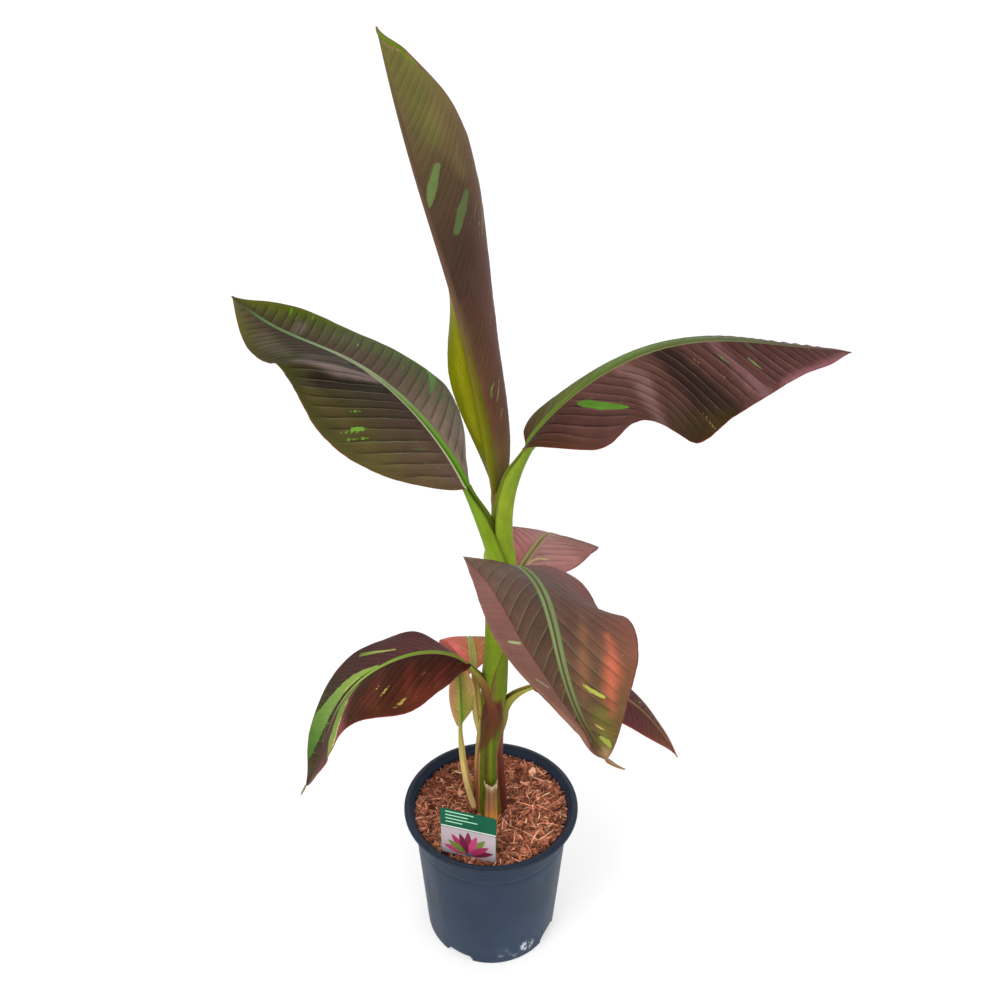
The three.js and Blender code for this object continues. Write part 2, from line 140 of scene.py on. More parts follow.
def make_mesh(name, points, faces, material, attributes=None, flat=False):
    """A mesh object from points in millimetres, groups of quads or triangles, and point attributes."""
    mesh = bpy.data.meshes.new(name)
    points = np.asarray(points, np.float32).reshape(-1, 3) * MM
    groups = [np.asarray(g) for g in faces]
    loops = np.concatenate([g.ravel() for g in groups]).astype(np.int32)
    totals = np.concatenate([np.full(len(g), g.shape[1]) for g in groups]).astype(np.int32)
    starts = np.concatenate([[0], np.cumsum(totals)[:-1]]).astype(np.int32)
    mesh.vertices.add(len(points))
    mesh.vertices.foreach_set("co", points.ravel())
    mesh.loops.add(len(loops))
    mesh.loops.foreach_set("vertex_index", loops)
    mesh.polygons.add(len(totals))
    mesh.polygons.foreach_set("loop_start", starts)
    mesh.polygons.foreach_set("loop_total", totals)
    mesh.polygons.foreach_set("use_smooth", np.full(len(totals), not flat))
    mesh.update(calc_edges=True)
    for key, values in (attributes or {}).items():
        values = np.asarray(values, np.float32)
        if values.ndim == 2:
            colour = np.ones((len(values), 4), np.float32)
            colour[:, :3] = np.clip(values, 0, 1)
            mesh.attributes.new(key, "FLOAT_COLOR", "POINT").data.foreach_set("color", colour.ravel())
        else:
            mesh.attributes.new(key, "FLOAT", "POINT").data.foreach_set("value", values)
    mesh.validate()
    obj = bpy.data.objects.new(name, mesh)
    bpy.context.scene.collection.objects.link(obj)
    mesh.materials.append(material)
    return obj


def grid_faces(rows, count):
    """Quads through rows of count points each, closed round."""
    i = np.arange(rows - 1)[:, None] * count
    j = np.arange(count)[None, :]
    k = (j + 1) % count
    return np.stack([i + j, i + k, i + k + count, i + j + count], -1).reshape(-1, 4)


def fan(ring, centre, flip):
    """Triangles from a ring of points to a middle one."""
    triangles = np.stack([ring, np.roll(ring, -1), np.full(len(ring), centre)], -1)
    return triangles[:, ::-1] if flip else triangles


def tube_faces(rows, count, inward=False):
    """A closed grid with a fan at each end, to the two points that follow its own."""
    body = grid_faces(rows, count)
    ring = np.arange(count)
    first = fan(ring, rows * count, not inward)
    last = fan(ring + (rows - 1) * count, rows * count + 1, inward)
    return [body[:, ::-1] if inward else body, first, last]


def with_ends(values, count=1):
    """Values with two more for the ends: the means of the first and of the last count."""
    first, last = values[:count], values[-count:]
    return np.concatenate([values, first.mean(0, keepdims=True), last.mean(0, keepdims=True)])


def both_faces(upper, lower):
    """Rows that run over a sheet's upper face and back over its lower one."""
    return np.concatenate([upper, lower[:, ::-1]], 1)


def sheet_faces(rows, count):
    """Quads of a sheet whose rows run over count points above and back over as many below."""
    ring = 2 * count
    i = np.arange(count - 1)
    first = np.stack([ring - 1 - i, ring - 2 - i, i + 1, i], -1)
    last = (rows - 1) * ring + np.stack([i, i + 1, ring - 2 - i, ring - 1 - i], -1)
    return [grid_faces(rows, ring), first, last]


def join(name, objects):
    bpy.ops.object.select_all(action="DESELECT")
    for obj in objects:
        obj.select_set(True)
    bpy.context.view_layer.objects.active = objects[0]
    bpy.ops.object.join()
    objects[0].name = name
    return objects[0]


def place(obj, *nodes, slot):
    """Ties a visible piece to the frame and hides the nodes it stands for. slot is not used."""
    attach(obj, "root")
    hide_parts(*nodes)


# Node helpers
class Nodes:
    """A material's node tree, built by short calls."""

    def __init__(self, name):
        self.material = bpy.data.materials.new(name)
        self.material.use_nodes = True
        self.tree = self.material.node_tree
        self.shader = self.tree.nodes["Principled BSDF"]

    def add(self, kind, **settings):
        node = self.tree.nodes.new(kind)
        for key, value in settings.items():
            setattr(node, key, value)
        return node

    def put(self, value, socket):
        if isinstance(value, bpy.types.NodeSocket):
            self.tree.links.new(value, socket)
        elif hasattr(value, "__len__") and len(value) == 3 and socket.type == "RGBA":
            socket.default_value = (*value, 1)
        else:
            socket.default_value = value

    def attribute(self, name, what="Fac"):
        return self.add("ShaderNodeAttribute", attribute_name=name).outputs[what]

    def math(self, kind, a, b=0.0):
        node = self.add("ShaderNodeMath", operation=kind)
        self.put(a, node.inputs[0])
        self.put(b, node.inputs[1])
        return node.outputs[0]

    def plus(self, a, b):
        return self.math("ADD", a, b)

    def minus(self, a, b):
        return self.math("SUBTRACT", a, b)

    def times(self, a, b):
        return self.math("MULTIPLY", a, b)

    def step(self, value, low, high):
        """A soft rise from 0 at low to 1 at high."""
        node = self.add("ShaderNodeMapRange", interpolation_type="SMOOTHSTEP")
        self.put(value, node.inputs["Value"])
        node.inputs["From Min"].default_value = low
        node.inputs["From Max"].default_value = high
        return node.outputs["Result"]

    def fall(self, value, low, high):
        """A soft fall from 1 at low to 0 at high."""
        return self.minus(1.0, self.step(value, low, high))

    def ramp(self, value, low, high, to_low, to_high):
        node = self.add("ShaderNodeMapRange")
        self.put(value, node.inputs["Value"])
        for key, number in (("From Min", low), ("From Max", high), ("To Min", to_low), ("To Max", to_high)):
            node.inputs[key].default_value = number
        return node.outputs["Result"]

    def vary(self, noise, low, high):
        """A noise's usual range brought to low and high."""
        return self.ramp(noise, 0.3, 0.7, low, high)

    def mix(self, a, b, factor):
        node = self.add("ShaderNodeMix", data_type="RGBA")
        self.put(factor, node.inputs[0])
        self.put(a, node.inputs[6])
        self.put(b, node.inputs[7])
        return node.outputs[2]

    def scale(self, colour, factor):
        node = self.add("ShaderNodeVectorMath", operation="SCALE")
        self.put(colour, node.inputs[0])
        self.put(factor, node.inputs["Scale"])
        return node.outputs[0]

    def combine(self, x, y, z):
        node = self.add("ShaderNodeCombineXYZ")
        for value, socket in zip((x, y, z), node.inputs):
            self.put(value, socket)
        return node.outputs[0]

    def noise(self, size, detail=4.0, rough=0.55, vector=None, stretch=None):
        node = self.add("ShaderNodeTexNoise")
        if vector is None:
            vector = self.add("ShaderNodeTexCoord").outputs["Object"]
        if stretch is not None:
            mapping = self.add("ShaderNodeMapping")
            self.put(vector, mapping.inputs["Vector"])
            mapping.inputs["Scale"].default_value = stretch
            vector = mapping.outputs[0]
        self.put(vector, node.inputs["Vector"])
        node.inputs["Scale"].default_value = size
        node.inputs["Detail"].default_value = detail
        node.inputs["Roughness"].default_value = rough
        return node.outputs["Fac"]

    def fibres(self, across, along, layer, detail, rough):
        """Noise that is drawn out along the veins."""
        x = self.times(self.attribute("phase"), across)
        y = self.times(self.attribute("out"), along)
        return self.noise(1.0, detail, rough, self.combine(x, y, layer))

    def bump(self, height, strength, distance):
        node = self.add("ShaderNodeBump")
        node.inputs["Strength"].default_value = strength
        node.inputs["Distance"].default_value = distance
        self.put(height, node.inputs["Height"])
        return node.outputs[0]

    def finish(self, colour, roughness, normal=None, **shader):
        self.put(colour, self.shader.inputs["Base Color"])
        self.put(roughness, self.shader.inputs["Roughness"])
        if normal is not None:
            self.put(normal, self.shader.inputs["Normal"])
        for key, value in shader.items():
            self.shader.inputs[key.replace("_", " ")].default_value = value
        return self.material


# Leaves
# The leaves, with the same values as in part.mjs. foot is where the stalk starts, stalk and length
# are the lengths of stalk and blade, and limb is the stalk's radius at both ends. rise and turn are
# the heading at the foot and then evenly along the blade, in degrees, as are roll, fold and curl.
# profile is where the blade is widest and how pointed it is before and after. bend is where its
# solid is split in two. half is a half's width, and lift raises its margin, in millimetres.
LEVEL = [0] * 7
LEAVES = {
    "back_left": dict(
        foot=[8, -6, 466], stalk=80, limb=[10, 6.2], length=354, rise=[75, 60, 23, 8, 28],
        turn=[-84, -61, -49, -54, -55], roll=[-2, -14, 16], profile=[0.37, 0.66, 1.1], lobe=0.08,
        left=dict(half=85, fold=[-14, 2, 5], curl=[-53, -26, -25], lift=[8, -4, -10, 2, -1, 0, 0]),
        right=dict(half=78, fold=[4, 16, 18], curl=[-41, -18, -2], lift=[-9, -1, 2, 0, -3, 4, 8])),
    "right": dict(
        foot=[12, 2, 467], stalk=115, limb=[12, 6.8], length=323, rise=[100, 61, 30, -5, -7],
        turn=[65, 92, 89, 83, 86], roll=[14, 8, -5], profile=[0.45, 0.59, 0.97], lobe=0.07,
        left=dict(half=66, fold=[38, 14, 3, 2, 3], curl=[-13, -24, -27, -25, -21],
                  lift=[5, -5, -3, 1, 3, -2, -1]),
        right=dict(half=74, fold=[1, -28, -41, -25, -6], curl=[-23, -36, -42, -37, -29],
                   lift=[11, -12, 11, -17, -6, 6, -3])),
    "upright": dict(
        foot=[1, 6, 466], stalk=62, limb=[8.6, 7.2], length=394, rise=[112, 81, 74, 70, 76],
        turn=[230, 234, 228, 228, 230], roll=[-21, -31, 11], profile=[0.45, 0.5, 0.86], lobe=0,
        left=dict(half=80, fold=[58, 52, 47, 39, 41], curl=[87, 87, 72, 78, 64],
                  lift=[0, -3, -2, 0, 1, 4, 0]),
        right=dict(half=75, fold=[24, 6, 54, 58, 112], curl=[45, 83, 59, 56, 18], lift=LEVEL)),
    "front": dict(
        foot=[5, -6, 433], stalk=56, limb=[6.5, 4.5], length=270, drip=12, rise=[80, 29, 11, -19, -3],
        turn=[122, 168, 170, 172, 154], roll=[10, 28, 6], profile=[0.43, 0.4, 0.75], lobe=0.15,
        left=dict(half=64, fold=[6, 8, 11, 10, 8], curl=[-23, -11, 0, 3, 4],
                  lift=[8, 0, -11, 5, 11, 4, 1]),
        right=dict(half=64, fold=[16, 7, 2, 7, 19], curl=[-22, -15, -6, 12, 35],
                   lift=[1, -1, 1, 0, -1, 4, 4])),
    "back_right": dict(
        foot=[8, 4, 402], stalk=48, limb=[6, 4.2], length=210, bend=0.36, rise=[80, 38, -17, -35, -50],
        turn=[70, 40, 18, 29, 32], roll=[-5, -3, -5], profile=[0.42, 0.5, 0.85], lobe=0.1,
        left=dict(half=49, fold=[17, 10, 3, -1, -3], curl=[-20, -18, -16, -16, -16],
                  lift=[0, 0, 1, 0, 0, 0, 0]),
        right=dict(half=51, fold=[-5, -3, 1, 4, 3], curl=[-34, -23, -14, -10, -10],
                   lift=[0, -4, -1, 2, 3, 2, 0])),
    "low_left": dict(
        foot=[2, -7, 301], stalk=60, limb=[7.5, 4], length=264, drip=14, bend=0.42,
        rise=[78, 50, -21, -68, -63], turn=[-70, -115, -105, -91, -86], roll=[-37, -21, 22],
        profile=[0.37, 0.48, 0.9], lobe=0.05,
        left=dict(half=55, fold=[-54, -21, -1, 4, 12], curl=[-74, -55, -39, -27, -11],
                  lift=[9, 3, -10, 0, -2, 3, 5]),
        right=dict(half=54, fold=[34, 31, 29, 23, 15], curl=[-18, -17, -12, -6, 1],
                   lift=[-5, 3, -3, 2, 6, 6, 2])),
    "low_right": dict(
        foot=[12, 2, 287], stalk=45, limb=[6.5, 3.8], length=190, rise=[75, 15, -14, -45, -60],
        turn=[90, 88, 92, 100, 105], roll=[0, 0, 0], profile=[0.42, 0.5, 1.25], lobe=0.1,
        left=dict(half=38, fold=[15, 0, 0], curl=[-20, -20, -20], lift=LEVEL),
        right=dict(half=36, fold=[15, 0, 0], curl=[-20, -20, -20], lift=LEVEL)),
    "low_back": dict(
        foot=[-14, 6, 285], stalk=45, limb=[5.5, 3.8], length=190, bend=0.36,
        rise=[92, 30, -30, -62, -75], turn=[-20, -6, -8, -10, -10], roll=[0, -4, 0],
        profile=[0.42, 0.7, 0.85], lobe=0,
        left=dict(half=32, fold=[20, 0, 0], curl=[-20, -20, -20], lift=LEVEL),
        right=dict(half=40, fold=[10, 0, 0], curl=[-20, -20, -20], lift=LEVEL)),
    "basal": dict(
        foot=[-17, -2, 160], stalk=109, limb=[5, 2.6], length=78, rise=[72, 92, 90, 85, 80],
        turn=[-80, -60, -40, -30, -30], roll=[0, 0, 0], profile=[0.42, 0.6, 0.85], lobe=0,
        left=dict(half=18, fold=[20, 10, 0], curl=[20, 20, 20], lift=LEVEL),
        right=dict(half=16, fold=[20, 10, 0], curl=[20, 20, 20], lift=LEVEL)),
}

# How each leaf looks. Colours are sRGB, and a list of them runs from a blade's base to its tip.
# Distances along the midrib and from it are in millimetres, left of it negative.
# vein is the distance between main veins, slant how far they lean forward, pleat how deep the folds
# between them are, line how strongly they show in colour, and shade how strong the painted shade and
# light beside them are. edge is the thin margin.
# rib, groove, lip and rib_under are the midrib, its channel, the channel's lips and the midrib from
# below. groove_reach and rib_reach are how far channel and midrib go, in half widths of the midrib,
# and rib_fades is where the midrib takes on the blade's colour.
# top and under are the colours beside the midrib and at the margin, for both halves or for the left
# half and then the right. tones are soft stripes: a line of (distance, offset, half width), a colour
# and a strength; some of them are painted shade, highlights and glow, marked where they stand. strips
# are ragged ones: the same line, and a colour or the colours along it.
# patches are distance, offset, half length along the veins, half width and colour. Those of the
# underside end in _under. flecks are how many are strewn over each face, and their colour. waves
# are swells that follow the veins: side, start on the midrib, half width and height. flap is how
# far the right margin folds over, and drip_bend how far the drip tip bends to the right.
def halves(left_inner, left_outer, right_inner=None, right_outer=None):
    """The colours of one face of a blade."""
    left = dict(inner=left_inner, outer=left_outer)
    right = dict(inner=right_inner or left_inner, outer=right_outer or left_outer)
    return dict(left=left, right=right)


PLAIN_LOOK = dict(
    tones=[], tones_under=[], strips=[], strips_under=[], patches=[], patches_under=[], waves=[],
    groove_reach=0.4, rib_reach=1.0, rib_fades=0.86, drip_bend=0)

LOOKS = {
    "back_left": dict(
        vein=12.5, slant=0.5, pleat=0.45, line=0.4, shade=0.5, vein_tint=(108, 110, 86),
        edge=(104, 62, 34), rib_under=(120, 150, 60),
        rib=[(96, 140, 34), (116, 146, 74), (150, 160, 124), (110, 138, 92), (80, 104, 56)],
        groove=[(80, 124, 22), (98, 132, 50), (130, 144, 100), (98, 128, 80), (76, 98, 50)],
        lip=[(196, 190, 160), (190, 180, 158), (150, 150, 126), (96, 124, 84), (90, 110, 60)],
        top=halves(
            [(96, 74, 66), (54, 41, 35), (58, 44, 37), (84, 72, 50)],
            [(84, 66, 38), (64, 64, 28), (66, 62, 28), (98, 98, 44)],
            [(176, 154, 138), (98, 77, 66), (70, 54, 42), (62, 56, 32)],
            [(150, 130, 118), (72, 84, 24), (70, 86, 20), (88, 94, 26)]),
        under=halves([(120, 90, 70), (110, 80, 60)], [(125, 75, 60), (115, 80, 55)]),
        tones=[
            # painted shadow in the hollow below the crease
            ([(118, -3, 6), (136, -28, 9), (158, -56, 11)], (38, 27, 20), 0.9),
            # painted light along the crease's hump
            ([(140, -4, 7), (158, -32, 8), (190, -56, 7)], (134, 114, 110), 0.75),
            ([(178, -8, 5), (200, -36, 6)], (112, 92, 92), 0.45),
            # painted sheen on the fold near the tip
            ([(222, -46, 9), (250, -38, 12), (280, -24, 10)], (110, 98, 84), 0.3),
            ([(232, -10, 5), (262, -6, 5)], (62, 46, 44), 0.6),
            ([(60, -56, 10), (110, -62, 10), (150, -72, 8)], (78, 68, 36), 0.5),
            ([(30, 66, 8), (70, 66, 9), (110, 70, 8)], (104, 84, 84), 0.5),
            ([(262, 7, 5), (268, 18, 6)], (120, 104, 102), 0.45),
        ],
        strips=[
            ([(103, 37, 0.8), (110, 46, 1.8), (120, 58, 3.2), (132, 69, 4.2), (142, 75, 3)],
             (98, 146, 62)),
            ([(86, 32, 0.6), (96, 48, 1.2), (104, 62, 0.8)], (92, 130, 66)),
        ],
        patches=[
            (112, -50, 4.5, 1.5, (112, 160, 52)), (97, -57, 6, 2.4, (122, 176, 60)),
            (100, -66, 5, 0.9, (122, 176, 60)), (94, -68.5, 4.5, 1.5, (112, 152, 56)),
            (88, -59, 4.5, 1.4, (112, 160, 56)), (212, -50, 5, 1.5, (104, 138, 100)),
            (204, 34, 4.5, 1.1, (146, 164, 142)), (150, 44, 3.5, 1, (118, 146, 116)),
            (271, 38, 5, 1.3, (112, 140, 48)), (292, 27, 6, 1.8, (106, 142, 44)),
            (52, -22, 5, 1.2, (84, 116, 70)),
        ],
        flecks=(26, (138, 132, 96)), waves=[(-1, 148, 11, 3.2), (-1, 122, 8, -1.8), (1, 70, 12, 1.2)]),
    "right": dict(
        vein=11, slant=0.85, pleat=0.7, line=0.3, shade=0.5, vein_tint=(128, 100, 96), edge=(112, 44, 40),
        rib_under=(130, 165, 60),
        rib=[(106, 132, 44), (98, 118, 50), (94, 106, 60), (92, 98, 70), (104, 74, 64)],
        groove=[(90, 116, 38), (86, 102, 44), (84, 92, 52), (82, 84, 60), (96, 64, 58)],
        lip=[(126, 128, 70), (120, 118, 70), (118, 116, 76), (112, 104, 82), (112, 72, 66)],
        top=halves(
            [(88, 56, 48), (92, 104, 38), (92, 116, 48), (88, 104, 52), (100, 70, 62), (104, 66, 62)],
            [(92, 58, 52), (96, 96, 44), (86, 108, 48), (84, 92, 48), (92, 58, 54), (100, 62, 58)],
            [(60, 36, 22), (90, 60, 54), (78, 52, 46), (74, 44, 40), (84, 56, 52)],
            [(60, 38, 18), (84, 54, 48), (52, 38, 22), (84, 54, 50), (100, 62, 60)]),
        under=halves(
            [(150, 95, 80), (140, 85, 75), (130, 80, 70)],
            [(140, 80, 65), (130, 75, 65), (120, 70, 60)]),
        tones=[
            # painted highlight: pink sheen where the first swell catches the light
            ([(112, 6, 6), (124, 28, 8), (122, 48, 8), (124, 76, 6)], (134, 100, 96), 0.45),
            # painted shade in the hollow between the swells
            ([(150, 6, 11), (164, 30, 14), (182, 48, 14), (205, 62, 11)], (34, 24, 19), 0.85),
            ([(168, 66, 14), (200, 68, 12)], (52, 40, 16), 0.8),
            # painted highlight: pink sheen on the swell at 186
            ([(194, 3, 3.5), (213, 30, 5), (236, 52, 6)], (136, 98, 100), 0.5),
            # painted shade in the hollow at 222
            ([(228, 10, 6), (246, 36, 8)], (68, 46, 44), 0.6),
            ([(16, 22, 5), (35, 45, 7), (57, 55, 6)], (74, 44, 20), 0.5),
            ([(256, 46, 6), (285, 30, 6), (318, 6, 4)], (158, 104, 112), 0.6),
            ([(50, 12, 9), (74, 44, 9)], (70, 42, 38), 0.5),
        ],
        strips=[
            ([(66, 15, 1.4), (70, 20, 3.6), (82, 33, 3.6), (96, 46, 2.6), (102, 51, 1.2)], (98, 146, 48)),
        ],
        patches=[
            (200, 20, 6, 1.4, (116, 138, 92)), (228, 25, 6, 1.5, (124, 150, 92)),
            (226, 6, 7, 1.2, (92, 104, 76)), (176, 19, 3, 1, (138, 126, 70)),
            (186, 66, 5, 0.9, (146, 130, 70)), (178, 58, 4, 0.8, (140, 122, 70)),
        ],
        flecks=(44, (144, 122, 78)),
        waves=[(1, 96, 14, 2.4), (1, 142, 15, -2.6), (1, 186, 9, 1.8), (1, 222, 8, -1.2)]),
    "upright": dict(
        vein=8, slant=1.05, pleat=0.22, line=0.14, shade=0.22, vein_tint=(128, 104, 84),
        edge=(126, 62, 78),
        rib=[(134, 138, 74), (124, 104, 74), (118, 98, 70), (116, 104, 60)],
        groove=[(134, 138, 74), (124, 104, 74), (118, 98, 70), (116, 104, 60)],
        lip=[(126, 110, 60), (104, 74, 58), (104, 74, 58), (104, 100, 54)],
        rib_under=[
            (120, 112, 40), (116, 114, 20), (112, 100, 36), (108, 80, 62), (96, 72, 56), (96, 76, 56),
            (104, 92, 50),
        ],
        top=halves(
            [(90, 110, 30), (95, 120, 25), (92, 132, 12), (96, 140, 8)],
            [(100, 110, 30), (95, 120, 25), (92, 132, 10), (98, 142, 8)],
            [(110, 116, 6), (118, 120, 4), (96, 120, 8), (98, 136, 4)],
            [(128, 132, 4), (130, 132, 4), (100, 126, 8), (100, 138, 4)]),
        under=halves(
            [(112, 100, 42), (98, 68, 44), (88, 60, 42), (68, 48, 38), (70, 54, 40), (88, 76, 48),
             (98, 94, 46)],
            [(106, 76, 48), (122, 86, 78), (126, 88, 84), (112, 76, 72), (100, 74, 58), (108, 92, 60),
             (102, 110, 44)],
            # the right half's yellow-green towards the base is painted glow, light shining through the
            # flaring blade
            [(92, 104, 8), (102, 106, 4), (112, 114, 6), (100, 76, 52), (92, 92, 46), (100, 112, 36)],
            [(114, 114, 4), (126, 122, 4), (110, 118, 12), (104, 78, 56), (96, 96, 46), (104, 120, 30)]),
        tones_under=[
            ([(186, -3, 2.5), (120, -3, 2.5), (60, -3, 3), (10, -3, 3)], (128, 104, 66), 0.4),
            ([(330, -22, 9), (300, -34, 7), (282, -40, 5)], (120, 102, 64), 0.35),
            ([(352, -12, 7), (318, -20, 9)], (98, 104, 46), 0.4),
            # painted glow in the flare's colour, carried along beside the midrib
            ([(206, 12, 4), (120, 16, 6), (60, 14, 5)], (142, 140, 26), 0.5),
        ],
        strips_under=[
            ([(385, -2, 0.4), (380, -7, 0.5), (375, -15, 0.5), (368, -22, 0.5), (360, -28, 0.4)],
             (176, 132, 104)),
            ([(272, -3, 1.8), (284, -9, 4), (297, -17, 2.6)], (116, 136, 78)),
            ([(245, -19, 3.4), (257, -28, 5), (267, -37, 3.4)], (102, 118, 72)),
            ([(230, -45, 0.5), (243, -49, 0.9)], (164, 150, 118)),
            ([(246, -41, 0.5), (255, -50, 0.9)], (150, 140, 104)),
            ([(371, -15.5, 0.8), (381, -11, 1.6), (390, -2, 1.2)], (116, 142, 36)),
            ([(226, -50, 1), (238, -57, 2.2), (252, -63, 1.2)], (140, 134, 98)),
            ([(96, -12, 1), (104, -15, 1.8), (108, -20, 1)], (128, 150, 84)),
            ([(90, -18, 0.8), (98, -24, 1.4), (108, -30, 0.9)], (168, 150, 120)),
            ([(72, -18, 0.7), (80, -24, 1.3)], (168, 150, 120)),
        ],
        patches_under=[
            (300, -36, 6, 1.3, (118, 132, 84)), (288, -48, 4, 1, (138, 126, 92)),
            (160, -38, 5, 0.9, (168, 140, 110)),
        ],
        flecks=(18, (140, 118, 84))),
    "front": dict(
        vein=20, slant=1.5, pleat=0.35, line=0.5, shade=0.3, vein_tint=(122, 122, 78), edge=(118, 62, 60),
        groove_reach=0.62, rib_reach=1.9, rib_fades=0.8, drip_bend=-6, rib_under=(140, 170, 80),
        rib=[(128, 150, 90), (126, 148, 94), (126, 148, 94), (122, 140, 86), (112, 104, 66)],
        groove=[(112, 84, 76), (112, 82, 78), (108, 80, 74), (102, 78, 66), (100, 76, 58)],
        lip=[(120, 138, 76), (112, 134, 74), (110, 130, 74), (108, 116, 66), (108, 88, 60)],
        top=halves(
            [(94, 66, 62), (96, 72, 64), (98, 74, 60), (98, 80, 50)],
            [(128, 78, 76), (122, 76, 70), (130, 84, 66), (110, 90, 46)],
            [(88, 64, 58), (82, 60, 52), (84, 62, 50), (98, 72, 52)],
            [(112, 80, 72), (112, 84, 72), (116, 86, 70), (116, 90, 58)]),
        under=halves(
            [(150, 90, 80), (140, 85, 75), (125, 80, 65)],
            [(135, 80, 75), (130, 80, 70), (120, 80, 60)],
            [(138, 96, 88), (134, 92, 80), (124, 88, 70)],
            [(130, 88, 82), (126, 86, 78), (122, 86, 70)]),
        tones=[
            # painted glow: a coral band where light shines through the blade
            ([(158, -40, 1), (176, -38, 3.8), (200, -33, 5), (220, -27, 4.2), (237, -22, 1)],
             (212, 112, 84), 0.85),
            ([(138, -26, 1), (160, -22, 3.5), (190, -15, 4), (216, -10, 1)], (160, 108, 76), 0.6),
            ([(232, -16, 6), (256, -8, 6)], (122, 120, 48), 0.55),
            ([(30, -14, 6), (90, -24, 7), (150, -14, 5)], (96, 66, 56), 0.55),
            ([(266, -2, 3), (286, 0, 4)], (184, 150, 104), 0.9),
            ([(30, 62, 2), (60, 64, 2)], (150, 122, 84), 0.6),
        ],
        tones_under=[
            ([(266, -2, 3), (286, 0, 4)], (176, 142, 100), 0.9),
        ],
        strips=[
            ([(206, -12, 1), (212, -16, 2), (219, -22, 1.4)], (214, 218, 96)),
            ([(252, -6, 1), (258, -8, 2.2), (262, -8, 1.3)], (186, 200, 92)),
        ],
        strips_under=[
            ([(184, 44, 0.8), (184, 39, 1.4), (184, 34, 0.9)], (186, 196, 140)),
            ([(215, 33, 0.6), (218, 29, 1.1), (221, 25, 0.7)], (176, 178, 136)),
        ],
        patches=[
            (66, 16, 4, 1.5, (130, 165, 80)), (122, 42, 4, 1.4, (134, 140, 84)),
            (96, 48, 3, 1, (140, 140, 90)), (104, -14, 3.5, 1.3, (148, 156, 80)),
            (104, -60, 4, 0.9, (190, 160, 100)), (130, -52, 3, 0.9, (190, 140, 100)),
            (244, -9, 2.4, 1.5, (250, 214, 120)), (182, -44, 5, 0.9, (222, 140, 120)),
            (142, -30, 3, 1, (180, 150, 90)),
        ],
        flecks=(34, (160, 130, 90)), waves=[(-1, 120, 14, 1), (-1, 165, 10, -0.8)],
        flap=[0, 0, 0, 2, 13, 21, 23, 15, 0]),
    "back_right": dict(
        vein=9, slant=0.7, pleat=0.5, line=0.3, shade=0.3, vein_tint=(136, 84, 82), edge=(120, 55, 60),
        rib_under=(150, 150, 90),
        rib=[(164, 162, 98), (160, 148, 100), (146, 120, 90), (120, 90, 72)],
        groove=[(146, 122, 92), (144, 118, 92), (130, 96, 78), (104, 74, 62)],
        lip=[(150, 130, 100), (150, 120, 98), (140, 104, 92), (120, 84, 76)],
        top=halves(
            [(184, 118, 116), (174, 124, 120), (148, 102, 96), (116, 80, 72)],
            [(204, 92, 92), (150, 90, 88), (126, 76, 72), (106, 64, 56)],
            [(166, 122, 118), (166, 124, 118), (144, 104, 96), (116, 80, 72)],
            [(154, 102, 98), (146, 98, 92), (126, 84, 76), (104, 66, 58)]),
        under=halves([(160, 95, 85), (140, 85, 75)], [(150, 85, 80), (130, 80, 70)]),
        strips=[
            ([(4, 3, 0.9), (16, 5, 1.3), (23, 10, 1.3), (28, 18, 0.7)], (222, 196, 138)),
        ],
        patches=[
            (52, 8, 3, 1.1, (138, 126, 92)), (48, -10, 4, 0.9, (170, 150, 100)),
        ],
        flecks=(24, (160, 130, 100)), waves=[(1, 36, 9, 1), (-1, 30, 9, -0.8)]),
    "low_left": dict(
        vein=9, slant=0.9, pleat=0.4, line=0.3, shade=0.4, vein_tint=(150, 74, 54), edge=(126, 40, 34),
        rib_under=(150, 160, 80),
        rib=[(128, 144, 48), (126, 160, 60), (138, 176, 66), (96, 80, 50), (90, 76, 50)],
        groove=[(112, 132, 44), (116, 148, 54), (130, 168, 60), (86, 66, 46), (84, 66, 44)],
        lip=[(136, 104, 66), (150, 128, 88), (146, 130, 84), (92, 68, 48), (84, 64, 44)],
        top=halves(
            [(50, 23, 17), (56, 29, 22), (54, 33, 24), (48, 33, 25), (60, 50, 26)],
            [(78, 34, 27), (84, 42, 28), (74, 42, 28), (98, 58, 46), (92, 66, 38)],
            [(106, 64, 60), (86, 52, 50), (64, 40, 36), (54, 36, 28), (62, 54, 28)],
            [(88, 46, 42), (74, 40, 38), (62, 38, 30), (58, 60, 28), (72, 66, 28)]),
        under=halves([(140, 70, 60), (125, 70, 55)], [(150, 60, 55), (130, 70, 50)]),
        tones=[
            ([(34, -38, 6), (58, -44, 8), (84, -46, 6)], (142, 62, 44), 0.2),
            ([(96, -12, 6), (112, -40, 8)], (124, 62, 46), 0.25),
            ([(132, -10, 7), (146, -44, 9), (176, -50, 7)], (138, 76, 78), 0.7),
            ([(66, -14, 3), (78, -36, 4)], (128, 56, 40), 0.35),
            ([(30, -16, 2), (48, -34, 3)], (136, 58, 42), 0.35),
            ([(150, -16, 5), (196, -20, 7), (226, -14, 5)], (54, 36, 30), 0.7),
            ([(268, 0, 4), (284, 0, 4)], (168, 170, 110), 0.9),
        ],
        strips=[
            ([(98, 4, 1.5), (112, 8, 3.5), (130, 13, 5.5), (152, 16, 8), (176, 20, 9.5), (198, 23, 11),
              (218, 22, 9.5), (233, 18, 6), (248, 16, 1)],
             [(166, 194, 88), (160, 188, 84), (132, 168, 74), (98, 138, 56), (72, 114, 48)]),
            ([(112, 6, 0.8), (140, 9, 1.6), (168, 13, 1.4), (190, 17, 1)], (204, 222, 122)),
            ([(120, -4, 1), (127, -8, 3), (136, -15, 5), (143, -30, 5.2), (154, -39, 5), (168, -42, 4),
